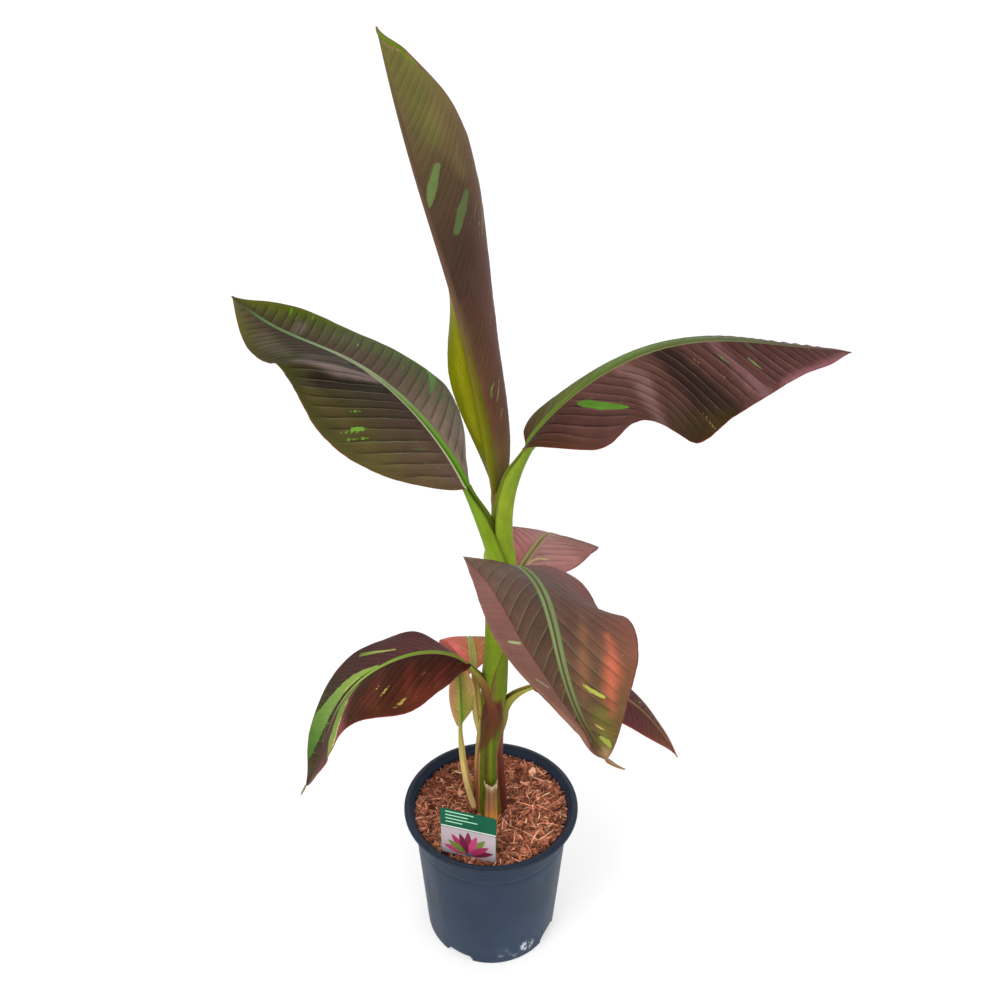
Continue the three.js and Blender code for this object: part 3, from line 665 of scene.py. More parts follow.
              (188, -41, 2)], [(146, 178, 80), (134, 168, 76), (150, 176, 88)]),
            ([(132, -20, 0.8), (144, -38, 1.4), (154, -45, 1.4), (166, -47, 1.4), (180, -45, 1)],
             (238, 214, 136)),
            ([(76, 17, 0.7), (88, 23, 1.6), (101, 32, 2.4), (116, 40, 2.8)],
             [(212, 222, 116), (196, 212, 104), (120, 146, 62)]),
            ([(80, -43, 0.5), (87, -46, 1.2), (95, -49, 0.6)], (196, 188, 92)),
            ([(190, 9, 0.9), (206, 5, 1.4)], (96, 126, 52)),
        ],
        patches=[
            (97, -34, 4, 1.7, (214, 210, 104)), (102, -28, 3.4, 1.3, (214, 210, 104)),
            (186, 9, 5, 1.4, (100, 140, 60)), (92, 40, 3.5, 0.9, (150, 140, 80)),
        ],
        flecks=(70, (160, 116, 70)), waves=[(-1, 128, 10, 1.6), (-1, 60, 14, 1)]),
    "low_right": dict(
        vein=8, slant=0.5, pleat=0.4, line=0.2, shade=0.34, vein_tint=(120, 72, 62), edge=(150, 70, 50),
        rib_under=(160, 150, 90),
        rib=[(150, 150, 85), (130, 110, 70), (130, 90, 60)],
        groove=[(120, 110, 60), (110, 80, 60), (110, 70, 50)],
        lip=[(150, 140, 85), (130, 100, 70), (130, 90, 60)],
        top=halves(
            [(90, 54, 54), (80, 46, 44), (84, 46, 42), (92, 56, 42)],
            [(94, 54, 54), (88, 48, 46), (92, 50, 44), (150, 92, 60)],
            [(90, 54, 54), (82, 48, 48), (84, 48, 46), (96, 58, 46)],
            [(94, 54, 54), (86, 48, 48), (92, 50, 46), (130, 80, 56)]),
        under=halves([(150, 70, 60), (135, 70, 55)], [(160, 60, 50), (140, 70, 50)]),
        tones=[
            ([(150, -20, 5), (176, -8, 4), (190, 0, 3)], (176, 120, 76), 0.6),
        ],
        patches=[
            (60, 14, 5, 1.2, (160, 165, 80)), (120, -12, 4, 1, (160, 165, 80)),
        ],
        flecks=(16, (168, 130, 84))),
    "low_back": dict(
        vein=7, slant=0.9, pleat=0.4, line=0.5, shade=0.3, vein_tint=(206, 150, 110), edge=(196, 84, 84),
        rib_reach=1.1, rib_under=(150, 170, 80),
        rib=[(160, 168, 92), (158, 166, 90), (150, 156, 84)],
        groove=[(176, 182, 106), (164, 172, 94), (150, 156, 84)],
        lip=[(196, 196, 120), (190, 180, 110), (170, 150, 90)],
        top=halves(
            [(188, 112, 84), (182, 100, 76), (170, 86, 64), (150, 84, 58)],
            [(214, 112, 104), (196, 94, 80), (176, 84, 66), (150, 84, 58)],
            [(176, 122, 66), (168, 108, 60), (156, 88, 58), (146, 82, 54)],
            [(190, 104, 82), (180, 90, 68), (166, 82, 62), (150, 84, 58)]),
        under=halves([(200, 110, 90), (170, 90, 75)], [(210, 100, 95), (170, 90, 75)]),
        tones=[
            ([(20, -16, 5), (36, -20, 6)], (224, 116, 114), 0.7),
        ],
        patches=[
            (26, -10, 7, 1, (226, 178, 116)), (34, 12, 6, 0.9, (228, 180, 120)),
            (18, 8, 5, 0.9, (216, 166, 106)), (44, -14, 6, 1, (226, 176, 116)),
            (50, 10, 6, 0.9, (190, 170, 96)),
        ],
        flecks=(60, (224, 176, 112))),
    "basal": dict(
        vein=5, slant=0.8, pleat=0.2, line=0.25, shade=0.2, vein_tint=(170, 176, 100),
        edge=(210, 150, 124), rib_under=(100, 136, 52),
        rib=[(116, 150, 50), (104, 136, 48), (88, 108, 42)],
        groove=[(98, 138, 44), (88, 124, 42), (80, 100, 40)],
        lip=[(128, 152, 64), (112, 134, 56), (96, 108, 50)],
        top=halves(
            [(170, 178, 78), (158, 162, 74), (142, 130, 64), (112, 92, 50)],
            [(205, 176, 104), (212, 150, 112), (206, 136, 112), (160, 112, 84)],
            [(132, 150, 58), (136, 138, 60), (136, 120, 60), (104, 80, 44)],
            [(156, 158, 72), (186, 164, 92), (196, 162, 100), (150, 116, 76)]),
        under=halves([(150, 165, 70), (120, 110, 60)], [(215, 180, 110), (160, 120, 90)]),
        strips=[
            ([(58, -15, 2), (68, -10, 3.2), (76, -3, 2.6), (80, 2, 2)], (58, 34, 24)),
        ],
        patches=[
            (24, -8, 5, 1.2, (200, 178, 96)), (36, 8, 6, 1.2, (186, 176, 88)),
            (48, -10, 5, 1.4, (206, 150, 110)),
        ],
        flecks=(10, (200, 180, 100))),
}

# How far the colours of leaves and of their patches are darkened, and how strong the grain is
LEAF_DEPTH = 0.84
PATCH_DEPTH = 0.68
GRAIN = 0.09

# The midrib's half width and depth as shares of the limb, its half width at the tip, the least
# width of blade beside it, and how far the base lobes reach as a share of the length
RIB_SHARE = 0.8
RIB_DEPTH_SHARE = 1.1
RIB_TIP = 0.78
RIB_BORDER = 0.4
LOBE_REACH = 0.06
# How blades and stalks are cut up, and how the right margin's flap bends over
HALF_THICK = 0.28
STALK_STEPS = 60
BLADE_STEPS = 900
RIB_COLUMNS = (-1, -0.9, -0.76, -0.55, -0.34, -0.14, 0, 0.14, 0.34, 0.55, 0.76, 0.9, 1)
LAMINA_COLUMNS = 25
FLAP_COLUMNS = 16
FLAP_RADIUS = 1.3
FLAP_TURN = math.radians(167)
# Strengths of the pleats' first waves, and a depth well outside every patch
PLEAT_WAVES = (0.62, 0.28, 0.14)
NO_PATCH = -9.0


def heading(rise, turn):
    """Directions ahead, to the side and upward for a rise and a turn in degrees."""
    up, round_ = np.radians(rise), np.radians(turn)
    ahead = np.stack([np.cos(up) * np.sin(round_), np.cos(up) * np.cos(round_), np.sin(up)], -1)
    side = np.stack([np.cos(round_), -np.sin(round_), 0 * round_], -1)
    return ahead, side, np.cross(side, ahead)


def stalk_line(leaf):
    """Points along a stalk, from its foot to the blade."""
    share = (np.arange(STALK_STEPS) + 0.5) / STALK_STEPS
    ahead, _, _ = heading(between(leaf["rise"], share), between(leaf["turn"], share))
    foot = np.array(leaf["foot"], float)
    return np.vstack([foot, foot + np.cumsum(ahead * leaf["stalk"] / STALK_STEPS, 0)])


def blade_line(leaf, d):
    """Points at distances d along a blade's midrib."""
    reach = max(float(d.max()), 1.0)
    share = (np.arange(BLADE_STEPS) + 0.5) / BLADE_STEPS * reach / leaf["length"]
    ahead, _, _ = heading(blend(leaf["rise"][1:], share), blend(leaf["turn"][1:], share))
    start = stalk_line(leaf)[-1]
    points = np.vstack([start, start + np.cumsum(ahead * reach / BLADE_STEPS, 0)])
    marks = np.arange(BLADE_STEPS + 1) / BLADE_STEPS * reach
    return np.stack([np.interp(d, marks, points[:, k]) for k in range(3)], -1)


def fullness(leaf, t):
    """A blade's width along its length, as a share of the widest."""
    widest, base, tip = leaf["profile"]
    near = 1 - (1 - np.minimum(t / widest, 1)) ** 2
    far = 1 - np.maximum((t - widest) / (1 - widest), 0) ** 2
    return np.maximum(near, 0) ** base * np.maximum(far, 0) ** tip


def half_width(leaf, side):
    return (leaf["left"] if side < 0 else leaf["right"])["half"]


def vein_start(look, half, d, beside):
    """Where on the midrib the vein through a place leaves it."""
    return d - look["slant"] * beside - 0.35 * look["slant"] * beside**2 / max(half, 1)


def blade_columns(flapped):
    """Columns across a blade: side, place on the lamina or on the midrib, share of the flap."""
    lamina = np.linspace(0, 1, LAMINA_COLUMNS + 1)[1:] ** 0.95
    columns = [(-1, c, None, 0) for c in lamina[::-1]]
    columns += [(-1 if x < 0 else 1, None, x, 0) for x in RIB_COLUMNS]
    columns += [(1, c, None, 0) for c in lamina]
    if flapped:
        columns += [(1, 1.0, None, s) for s in np.linspace(0, 1, FLAP_COLUMNS + 1)[1:]]
    return columns


def build_blade(name, leaf, look, material):
    """A blade's two faces, column by column, with its pleats, its channel and its painted colours."""
    length = leaf["length"]
    total = length + leaf.get("drip", 0)
    limb = leaf["limb"][1]
    rows = int(max(90, total / 1.25))
    d = np.linspace(0, 1, rows) ** 1.04 * total
    t = np.minimum(d / length, 1)
    seed = sum(ord(c) for c in name)
    ahead, side, normal = heading(blend(leaf["rise"][1:], t), blend(leaf["turn"][1:], t))
    roll = np.radians(blend(leaf["roll"], t))[:, None]
    across = side * np.cos(roll) + normal * np.sin(roll)
    upper = normal * np.cos(roll) - side * np.sin(roll)
    share = fullness(leaf, t)
    past = np.clip((d - length) / max(total - length, 1e-6), 0, 1)
    centre = blade_line(leaf, d) + across * (look["drip_bend"] * past**2)[:, None]
    rib = (limb * RIB_SHARE * (1 - t) ** 0.8 + RIB_TIP * t) * (1 - 0.6 * past)
    rib_depth = limb * RIB_DEPTH_SHARE * (1 - t) * (0.86 + 0.14 * smooth(d, 0, 12))
    flap = np.maximum(blend(look.get("flap", [0, 0]), t), 0)
    columns = blade_columns("flap" in look)
    count = len(columns)
    top = np.zeros((rows, count, 3))
    under = np.zeros((rows, count, 3))
    fields = {k: np.zeros((rows, count)) for k in ("phase", "out", "edge", "rib", "u")}
    for j, (sign, lamina, x, turned) in enumerate(columns):
        form = leaf["left"] if sign < 0 else leaf["right"]
        wave = 1 + 0.010 * wander(d / 14, seed + (0 if sign < 0 else 50)) * smooth(t, 0, 0.1)
        half = form["half"] * share * wave
        reach = np.maximum(half, rib + RIB_BORDER + 1.1 * smooth(past, 0, 0.2) * (1 - past**2))
        offset = rib * abs(x) if lamina is None else rib + (reach - rib) * lamina
        u = offset / reach
        settle = smooth(half, 0, 20)
        fold = np.radians(blend(form["fold"], t)) * settle
        curl = np.radians(blend(form["curl"], t)) * settle
        curl = np.where(np.abs(curl) < 1e-5, 1e-5, curl)
        out = (np.sin(fold + curl * u) - np.sin(fold)) / curl * reach
        rise = (np.cos(fold) - np.cos(fold + curl * u)) / curl * reach
        lift = blend(form["lift"], t) * u * u * np.minimum(1, 2 * share)
        back = leaf["lobe"] * u * np.exp(-t / LOBE_REACH) * half
        lean = (fold + curl * u) * (0 if lamina is None else 1)
        beside = np.maximum(offset - rib, 0)
        start = vein_start(look, form["half"], d, beside)
        phase = start / look["vein"] + 0.30 * wander(start / 30, seed + 3) + (0 if sign < 0 else 0.5)
        window = smooth(beside, 1.5, 14) * smooth(reach - offset, 0, 9) * smooth(half, 4, 20)
        saw = sum(part * np.sin(2 * np.pi * k * phase) for k, part in enumerate(PLEAT_WAVES, 1))
        swell = look["pleat"] * window * saw * (1 + 0.35 * wander2(d / 40, beside / 18 + sign, seed + 9))
        for which, at, wide, height in look["waves"]:
            if which == sign:
                swell = swell + height * bell(start, at, wide) * smooth(beside, 2, 30)
        facing = upper * np.cos(lean)[:, None] - across * (sign * np.sin(lean))[:, None]
        outward = across * (sign * np.cos(lean))[:, None] + upper * np.sin(lean)[:, None]
        point = centre + across * (sign * out)[:, None] + upper * (rise + lift)[:, None]
        point = point - ahead * back[:, None] + facing * swell[:, None]
        thin = HALF_THICK - 0.08 * u
        edge = reach - offset + (flap if sign > 0 else 0)
        if turned:
            run = flap * turned
            bend = np.minimum(run / FLAP_RADIUS, FLAP_TURN)
            straight = np.maximum(run - FLAP_RADIUS * FLAP_TURN, 0)
            away = FLAP_RADIUS * np.sin(bend) + straight * np.cos(bend)
            over = FLAP_RADIUS * (1 - np.cos(bend)) + straight * np.sin(bend)
            point = point + outward * away[:, None] + facing * over[:, None]
            facing = facing * np.cos(bend)[:, None] - outward * np.sin(bend)[:, None]
            offset = offset - run
            thin = thin * (1 - 0.4 * turned)
            edge = np.clip(flap * (1 - turned), 2.5 * (flap < 1), 4.5)
        ridge = np.zeros(rows)
        bulge = np.zeros(rows)
        if lamina is None:
            ridge = np.minimum(rib, 3) * 0.33 * (1.1 * bell(abs(x), 0.72, 0.26) - 0.9 * (1 - x * x) ** 2)
            bulge = rib_depth * math.sqrt(max(0, 1 - (x / 1.04) ** 2))
        top[:, j] = point + facing * (thin + ridge)[:, None]
        under[:, j] = point - facing * (thin + bulge)[:, None]
        values = dict(phase=phase, out=sign * offset, edge=edge, rib=offset / rib, u=sign * np.minimum(u, 1))
        for key, column in values.items():
            fields[key][:, j] = column
    attributes = {k: both_faces(fields[k], fields[k]).ravel() for k in ("phase", "out", "edge", "rib")}
    above, below = (blade_colours(leaf, look, t, d, fields, which, seed) for which in ("top", "under"))
    for key in above:
        both = both_faces(above[key], below[key])
        attributes[key] = both.reshape(-1, 3) if both.ndim == 3 else both.ravel()
    return make_mesh(name, both_faces(top, under), sheet_faces(rows, count), material, attributes)


def stripe_depth(line, x, y):
    """How deep a place lies inside a stripe of (distance, offset, half width), and how far along."""
    line = np.array(line, float)
    depth, run = np.full(x.shape, -40.0), np.zeros(x.shape)
    for k, (start, end) in enumerate(zip(line[:-1], line[1:])):
        step_x, step_y, widening = end - start
        along = ((x - start[0]) * step_x + (y - start[1]) * step_y) / (step_x**2 + step_y**2)
        along = np.clip(along, 0, 1)
        away = np.hypot(x - start[0] - along * step_x, y - start[1] - along * step_y)
        here = start[2] + widening * along - away
        run = np.where(here > depth, (k + along) / (len(line) - 1), run)
        depth = np.maximum(depth, here)
    return depth, run


def strewn_flecks(leaf, look, local):
    """Small flecks at random places of one face, as patches."""
    number, colour = look["flecks"]
    flecks = []
    for _ in range(number):
        side = local.choice((-1, 1))
        at = local.uniform(0.06, 0.92)
        half = half_width(leaf, side) * float(fullness(leaf, np.array(at)))
        shade = np.array(colour) * local.uniform(0.75, 1.08)
        offset = side * half * local.uniform(0.12, 0.95)
        size = local.uniform(1.0, 2.4), local.uniform(0.5, 0.8)
        flecks.append((at * leaf["length"], offset, *size, shade))
    return flecks


def blade_colours(leaf, look, t, d, fields, which, seed):
    """The colours of one face of a blade and of its midrib, and the patches that lie on it."""
    u, out = fields["u"], fields["out"]
    rows, count = u.shape
    tt = np.repeat(t[:, None], count, 1)
    dd = np.repeat(d[:, None], count, 1)
    suffix = "" if which == "top" else "_under"
    colour = np.zeros((rows, count, 3))
    weight = np.clip(np.abs(u) + 0.10 * wander2(tt * 14, u * 4, seed + 5), 0, 1) ** 1.5
    for half, mine in (("left", u < 0), ("right", u >= 0)):
        inner, outer = (gradient(look[which][half][k], t)[:, None, :] for k in ("inner", "outer"))
        colour[mine] = mix(inner, outer, weight)[mine]
    for line, tint, strength in look["tones" + suffix]:
        depth = stripe_depth(line, dd, out)[0] + 1.5 * wander2(dd / 9, out / 9, seed + 11)
        colour = mix(colour, linear(*tint), strength * smooth(depth, -5, 7))
    colour = np.clip(colour * (1 + 0.13 * wander2(tt * 9, u * 3, seed + 21))[..., None], 0, 1)
    field = np.full((rows, count), NO_PATCH)
    patch_tint = np.zeros((rows, count, 3)) + linear(120, 150, 80)

    def lay(depth, tint, run):
        better = depth > field
        field[better] = depth[better]
        top_most = depth > np.maximum(field - 1e-9, -2.0)
        shade = linear(*tint) if run is None else gradient(tint, run[top_most])
        patch_tint[top_most] = shade * PATCH_DEPTH

    flecks = strewn_flecks(leaf, look, np.random.default_rng(seed + (0 if which == "top" else 1)))
    beside = np.abs(out)
    for along, offset, long_, wide, tint in look["patches" + suffix] + flecks:
        half = half_width(leaf, offset)
        start = vein_start(look, half, dd, beside)
        middle = vein_start(look, half, along, abs(offset))
        away = np.sqrt(((beside - abs(offset)) / long_) ** 2 + ((start - middle) / wide) ** 2)
        lay(np.where(np.sign(out) == np.sign(offset), (1 - away) * wide, NO_PATCH), tint, None)
    for line, tint in look["strips" + suffix]:
        depth, run = stripe_depth(line, dd, out)
        lay(depth, tint, run)
    x = fields["rib"]
    if which == "top":
        ridge, groove, lip = (gradient(look[k], t)[:, None, :] for k in ("rib", "groove", "lip"))
        in_groove = 1 - smooth(x, look["groove_reach"] - 0.26, look["groove_reach"])
        on_lip = smooth(x, 0.80 * look["rib_reach"], look["rib_reach"])
        rib_tint = mix(mix(ridge, groove, in_groove), lip, on_lip)
    else:
        rib_tint = gradient(look["rib_under"], t)[:, None, :] * (1 - 0.25 * smooth(x, 0.4, 1.0))[..., None]
    rib_tint = mix(rib_tint, colour, smooth(tt, look["rib_fades"], 1.0))
    return dict(tint=colour, patch_tint=patch_tint, patch=field, rib_tint=rib_tint)


def leaf_material(name, look):
    """A blade's skin: painted colours, with veins and the painted shade and light beside them, patches, the
    thin edge and the midrib over them.
    """
    n = Nodes(name)
    phase, out, margin, rib = (n.attribute(k) for k in ("phase", "out", "edge", "rib"))
    cloud = n.noise(60, 5)
    streak = n.fibres(5.0, 0.035, 0.0, 4, 0.6)
    drift = n.noise(1.0, 2, 0.5, n.combine(n.times(out, 0.05), phase, 2.0))
    bent = n.plus(phase, n.vary(drift, -0.05, 0.05))
    main = n.math("PINGPONG", bent, 0.5)
    minor = n.math("PINGPONG", n.times(bent, 5.0), 0.5)
    saw = n.math("FRACT", bent)
    # painted shade and light: darker just past each main vein, where the surface falls away, and lighter
    # where it climbs slowly to the next
    fades = n.times(n.step(rib, 1.0, 3.0), n.step(margin, 2.0, 14.0))
    shade = n.times(n.times(n.fall(saw, 0.0, 0.42), n.step(saw, 0.0, 0.05)), fades)
    pleat_light = n.times(n.step(saw, 0.45, 0.95), fades)
    small = n.fall(minor, 0.05, 0.3)
    streaks = n.ramp(streak, 0.25, 0.75, -0.12, 0.12)
    light = n.plus(n.vary(cloud, 0.90, 1.10), streaks)
    light = n.minus(light, n.times(shade, look["shade"]))
    light = n.plus(light, n.times(pleat_light, 0.45 * look["shade"]))
    light = n.plus(light, n.vary(n.noise(900, 3, 0.7), -GRAIN, GRAIN))
    light = n.plus(light, n.times(small, 0.10))
    colour = n.scale(n.attribute("tint", "Color"), light)
    broken = n.ramp(n.fibres(1.3, 0.04, 7.0, 3, 0.6), 0.3, 0.65, 0.35, 1.0)
    line = n.times(n.fall(main, 0.02, 0.075), broken)
    line = n.times(line, n.times(n.step(margin, 1.0, 22.0), look["line"]))
    colour = n.mix(colour, linear(*look["vein_tint"]), line)
    ragged = n.ramp(n.fibres(14.0, 0.16, 3.0, 5, 0.65), 0.25, 0.75, -0.9, 0.9)
    patch = n.scale(n.attribute("patch_tint", "Color"), n.plus(n.vary(cloud, 0.92, 1.08), streaks))
    colour = n.mix(colour, patch, n.step(n.plus(n.attribute("patch"), ragged), -0.12, 0.28))
    wobble = n.vary(n.noise(120, 2), -0.3, 0.3)
    rim = n.fall(n.plus(margin, wobble), 0.45, 1.3)
    colour = n.mix(colour, linear(*look["edge"]), n.times(rim, 0.85))
    rib_streak = n.noise(1.0, 3, 0.5, n.combine(n.times(out, 2.2), n.times(phase, 0.5), 5.0))
    rib_colour = n.scale(n.attribute("rib_tint", "Color"), n.vary(rib_streak, 0.82, 1.14))
    reach = look["rib_reach"]
    colour = n.mix(colour, rib_colour, n.fall(rib, reach * 0.94, reach * 1.12))
    fine = n.math("SINE", n.times(phase, 2 * math.pi * 10))
    height = n.plus(n.times(fine, 0.25), n.times(streak, 0.7))
    height = n.plus(height, n.times(small, 0.5))
    colour = n.scale(colour, LEAF_DEPTH)
    return n.finish(colour, n.vary(cloud, 0.40, 0.54), n.bump(height, 0.3, 0.0005), Specular_IOR_Level=0.03)


# Stalks
# Colours of each stalk, the body's from its foot to the blade. tail is how far it runs down over
# the stem, in millimetres.
STALKS = {
    "back_left": dict(
        body=[(118, 142, 32), (116, 142, 32), (98, 134, 32)],
        groove=(52, 56, 16), edge=(112, 78, 44), tail=60),
    "right": dict(
        body=[(122, 146, 34), (130, 150, 40), (114, 138, 42)],
        groove=(78, 92, 22), edge=(116, 70, 46), tail=70),
    "upright": dict(
        body=[(140, 150, 56), (138, 134, 60), (130, 112, 66)],
        groove=(116, 120, 42), edge=(118, 84, 60), tail=40),
    "front": dict(
        body=[(126, 142, 44), (130, 144, 52), (130, 150, 70)],
        groove=(112, 84, 66), edge=(126, 76, 62), tail=40),
    "back_right": dict(
        body=[(130, 146, 52), (150, 146, 76), (164, 148, 100)],
        groove=(126, 98, 76), edge=(140, 80, 76), tail=40),
    "low_left": dict(
        body=[(92, 50, 32), (112, 84, 42), (130, 138, 50)],
        groove=(104, 106, 38), edge=(116, 60, 46), tail=44),
    "low_right": dict(
        body=[(116, 112, 46), (138, 134, 54), (146, 140, 62)],
        groove=(92, 66, 42), edge=(144, 96, 66), tail=50),
    "low_back": dict(
        body=[(178, 168, 92), (172, 166, 86), (170, 162, 90)],
        groove=(168, 136, 76), edge=(210, 106, 100), tail=60),
    "basal": dict(
        body=[(224, 190, 132), (206, 184, 112), (150, 158, 66)],
        groove=(190, 156, 98), edge=(206, 152, 112), tail=0),
}
RIB_RUN = 7


def stalk_section(leaf, s, line, tail):
    """The middle of a stalk's cross-section at a distance s from its foot, and its heading."""
    length = leaf["stalk"]
    t = min(max(s / length, 0), 1)
    rise, turn = between(leaf["rise"], t), between(leaf["turn"], t)
    if s <= 0:
        down = float(smooth(-s, 0, tail or 1))
        share = (line[0][2] + s - STEM["foot"]) / (STEM["fork"] - STEM["foot"])
        axis = np.array([float(blend(STEM["lean"], share)), 0, 0])
        centre = line[0] + np.array([0, 0, s]) + (axis - line[0]) * np.array([1, 1, 0]) * 0.8 * down
    elif s <= length:
        steps = np.arange(STALK_STEPS + 1)
        centre = np.array([np.interp(t * STALK_STEPS, steps, line[:, k]) for k in range(3)])
    else:
        past = s - length
        centre = blade_line(leaf, np.array([past]))[0]
        rise, turn = (float(blend(leaf[k][1:], past / leaf["length"])) for k in ("rise", "turn"))
    return centre, rise, turn


def build_stalk(name, leaf, look, material):
    """A grooved leaf stalk that sinks into the stem below and runs on inside the blade's midrib."""
    sides = 48
    length, tail = leaf["stalk"], look["tail"]
    line = stalk_line(leaf)
    angle = full_circle(sides) + np.pi / sides
    off_top = np.abs(angle - np.pi)
    marks = np.concatenate([np.linspace(0, length, 80), length + np.linspace(0, RIB_RUN, 8)[1:]])
    if tail:
        marks = np.concatenate([np.linspace(-tail, 0, 30)[:-1], marks])
    points, tints = [], []
    for s in marks:
        centre, rise, turn = stalk_section(leaf, s, line, tail)
        _, side, normal = heading(rise, turn)
        t = min(max(s / length, 0), 1)
        radius = between(leaf["limb"], t)
        beyond = max(s - length, 0) / RIB_RUN
        near_blade = float(smooth(s, length - 34, length))
        groove = float(smooth(s, -25, 10)) if tail else 1.0
        channel = 0.62 * bell(off_top, 0, 0.42) - 0.10 * bell(off_top, 0.8, 0.25)
        dent = 1 - groove * (1 - near_blade) * channel
        wide = radius * (1 - 0.20 * near_blade - 0.22 * beyond)
        height = -radius * dent * np.cos(angle)
        lips = bell(np.abs(np.sin(angle)), 0.75, 0.26) - 0.8 * np.cos(angle) ** 4
        flat_top = 0.34 * min(radius, 3) * lips
        above = height * (1 - near_blade) + flat_top * near_blade * (1 - beyond) - 0.8 * beyond
        height = np.where(height > 0, above, height * (1 - 0.14 * beyond))
        points.append(centre + np.outer(-wide * dent * np.sin(angle), side) + np.outer(height, normal))
        tint = np.repeat(gradient(look["body"], np.array([t])), sides, 0)
        tint = mix(tint, linear(*look["groove"]), 0.85 * (bell(off_top, 0, 0.46) * groove))
        tints.append(mix(tint, linear(*look["edge"]), 0.55 * (bell(off_top, 0.70, 0.10) * groove)))
    rows = len(marks)
    values = dict(tint=np.concatenate(tints), phase=np.tile(angle * 2.2, rows), out=np.repeat(marks, sides))
    attributes = {key: with_ends(column) for key, column in values.items()}
    points = with_ends(np.concatenate(points), sides)
    return make_mesh(name, points, tube_faces(rows, sides), material, attributes)


def stalk_material(name):
    """Skin of stalks and sheaths, streaked along their length."""
    n = Nodes(name)
    cloud = n.noise(90, 4)
    streak = n.ramp(n.fibres(2.6, 0.03, 0.0, 4, 0.6), 0.25, 0.75, -0.16, 0.16)
    colour = n.scale(n.attribute("tint", "Color"), n.plus(n.vary(cloud, 0.90, 1.10), streak))
    fibre = n.fibres(9.0, 0.05, 4.0, 3, 0.5)
    normal = n.bump(n.plus(fibre, n.times(cloud, 0.4)), 0.25, 0.0006)
    colour = n.scale(colour, LEAF_DEPTH)
    return n.finish(colour, n.vary(cloud, 0.38, 0.5), normal, Specular_IOR_Level=0.05)


# Stem
STEM = dict(foot=157.3, fork=462, lean=[-0.5, -2, 3, 5.5, 6.5], radius=[19.5, 15.8, 13.6, 12.6, 13.2])
COLLAR = 12
SHEATH_THICK = 1.0
STEM_DEPTH = (0.87, 0.79, 0.77)
# Sheaths from the outermost in. turn is the angle a sheath faces, cover the angle it reaches to
# each side, narrowing over its last taper millimetres to narrow at its top. tint runs upward.
# streaks are (angle from the middle, half width, from height, to height, colour, strength).
SHEATHS = [
    dict(turn=158, cover=67, narrow=24, taper=60, top=296, edge=(206, 156, 112),
         tint=[(116, 70, 40), (150, 100, 58), (190, 156, 96), (182, 168, 92), (168, 164, 84)],
         streaks=[(58, 12, 150, 262, (120, 64, 38), 0.85)]),
    dict(turn=4, cover=62, narrow=24, taper=60, top=300, edge=(150, 96, 62),
         tint=[(98, 50, 36), (92, 44, 34), (100, 50, 38), (112, 78, 42), (120, 116, 48)],
         streaks=[(-50, 10, 150, 250, (66, 30, 22), 0.6)]),
    dict(turn=-96, cover=118, narrow=40, taper=70, top=316, edge=(108, 70, 42),
         tint=[(106, 118, 34), (98, 114, 28), (94, 110, 28), (92, 108, 30), (90, 102, 32),
               (88, 54, 34), (92, 50, 34)],
         streaks=[(-8, 8, 150, 268, (88, 62, 32), 0.85), (30, 5, 150, 270, (76, 96, 20), 0.5),
                  (12, 5, 150, 290, (128, 152, 40), 0.5)]),
    dict(turn=40, cover=150, narrow=60, taper=90, top=410, edge=(100, 72, 42),
         tint=[(112, 136, 34), (106, 130, 30), (104, 124, 28), (100, 122, 26), (118, 138, 36)],
         streaks=[(-138, 15, 300, 372, (104, 84, 46), 0.8), (-150, 4, 300, 372, (80, 60, 34), 0.6),
                  (-100, 8, 300, 400, (92, 114, 22), 0.5)]),
    dict(turn=-70, cover=160, narrow=60, taper=90, top=442, edge=(100, 72, 40),
         tint=[(112, 136, 34), (104, 128, 28), (110, 136, 30), (118, 144, 34)], streaks=[]),
    dict(turn=-120, cover=170, narrow=70, taper=90, top=478, edge=(88, 70, 32),
         tint=[(112, 138, 34), (118, 142, 34), (118, 142, 34)], streaks=[]),
]
BLOTCH = dict(turn=-98, z=254, height=54, reach=58, lean=0.35, colour=(92, 52, 34))


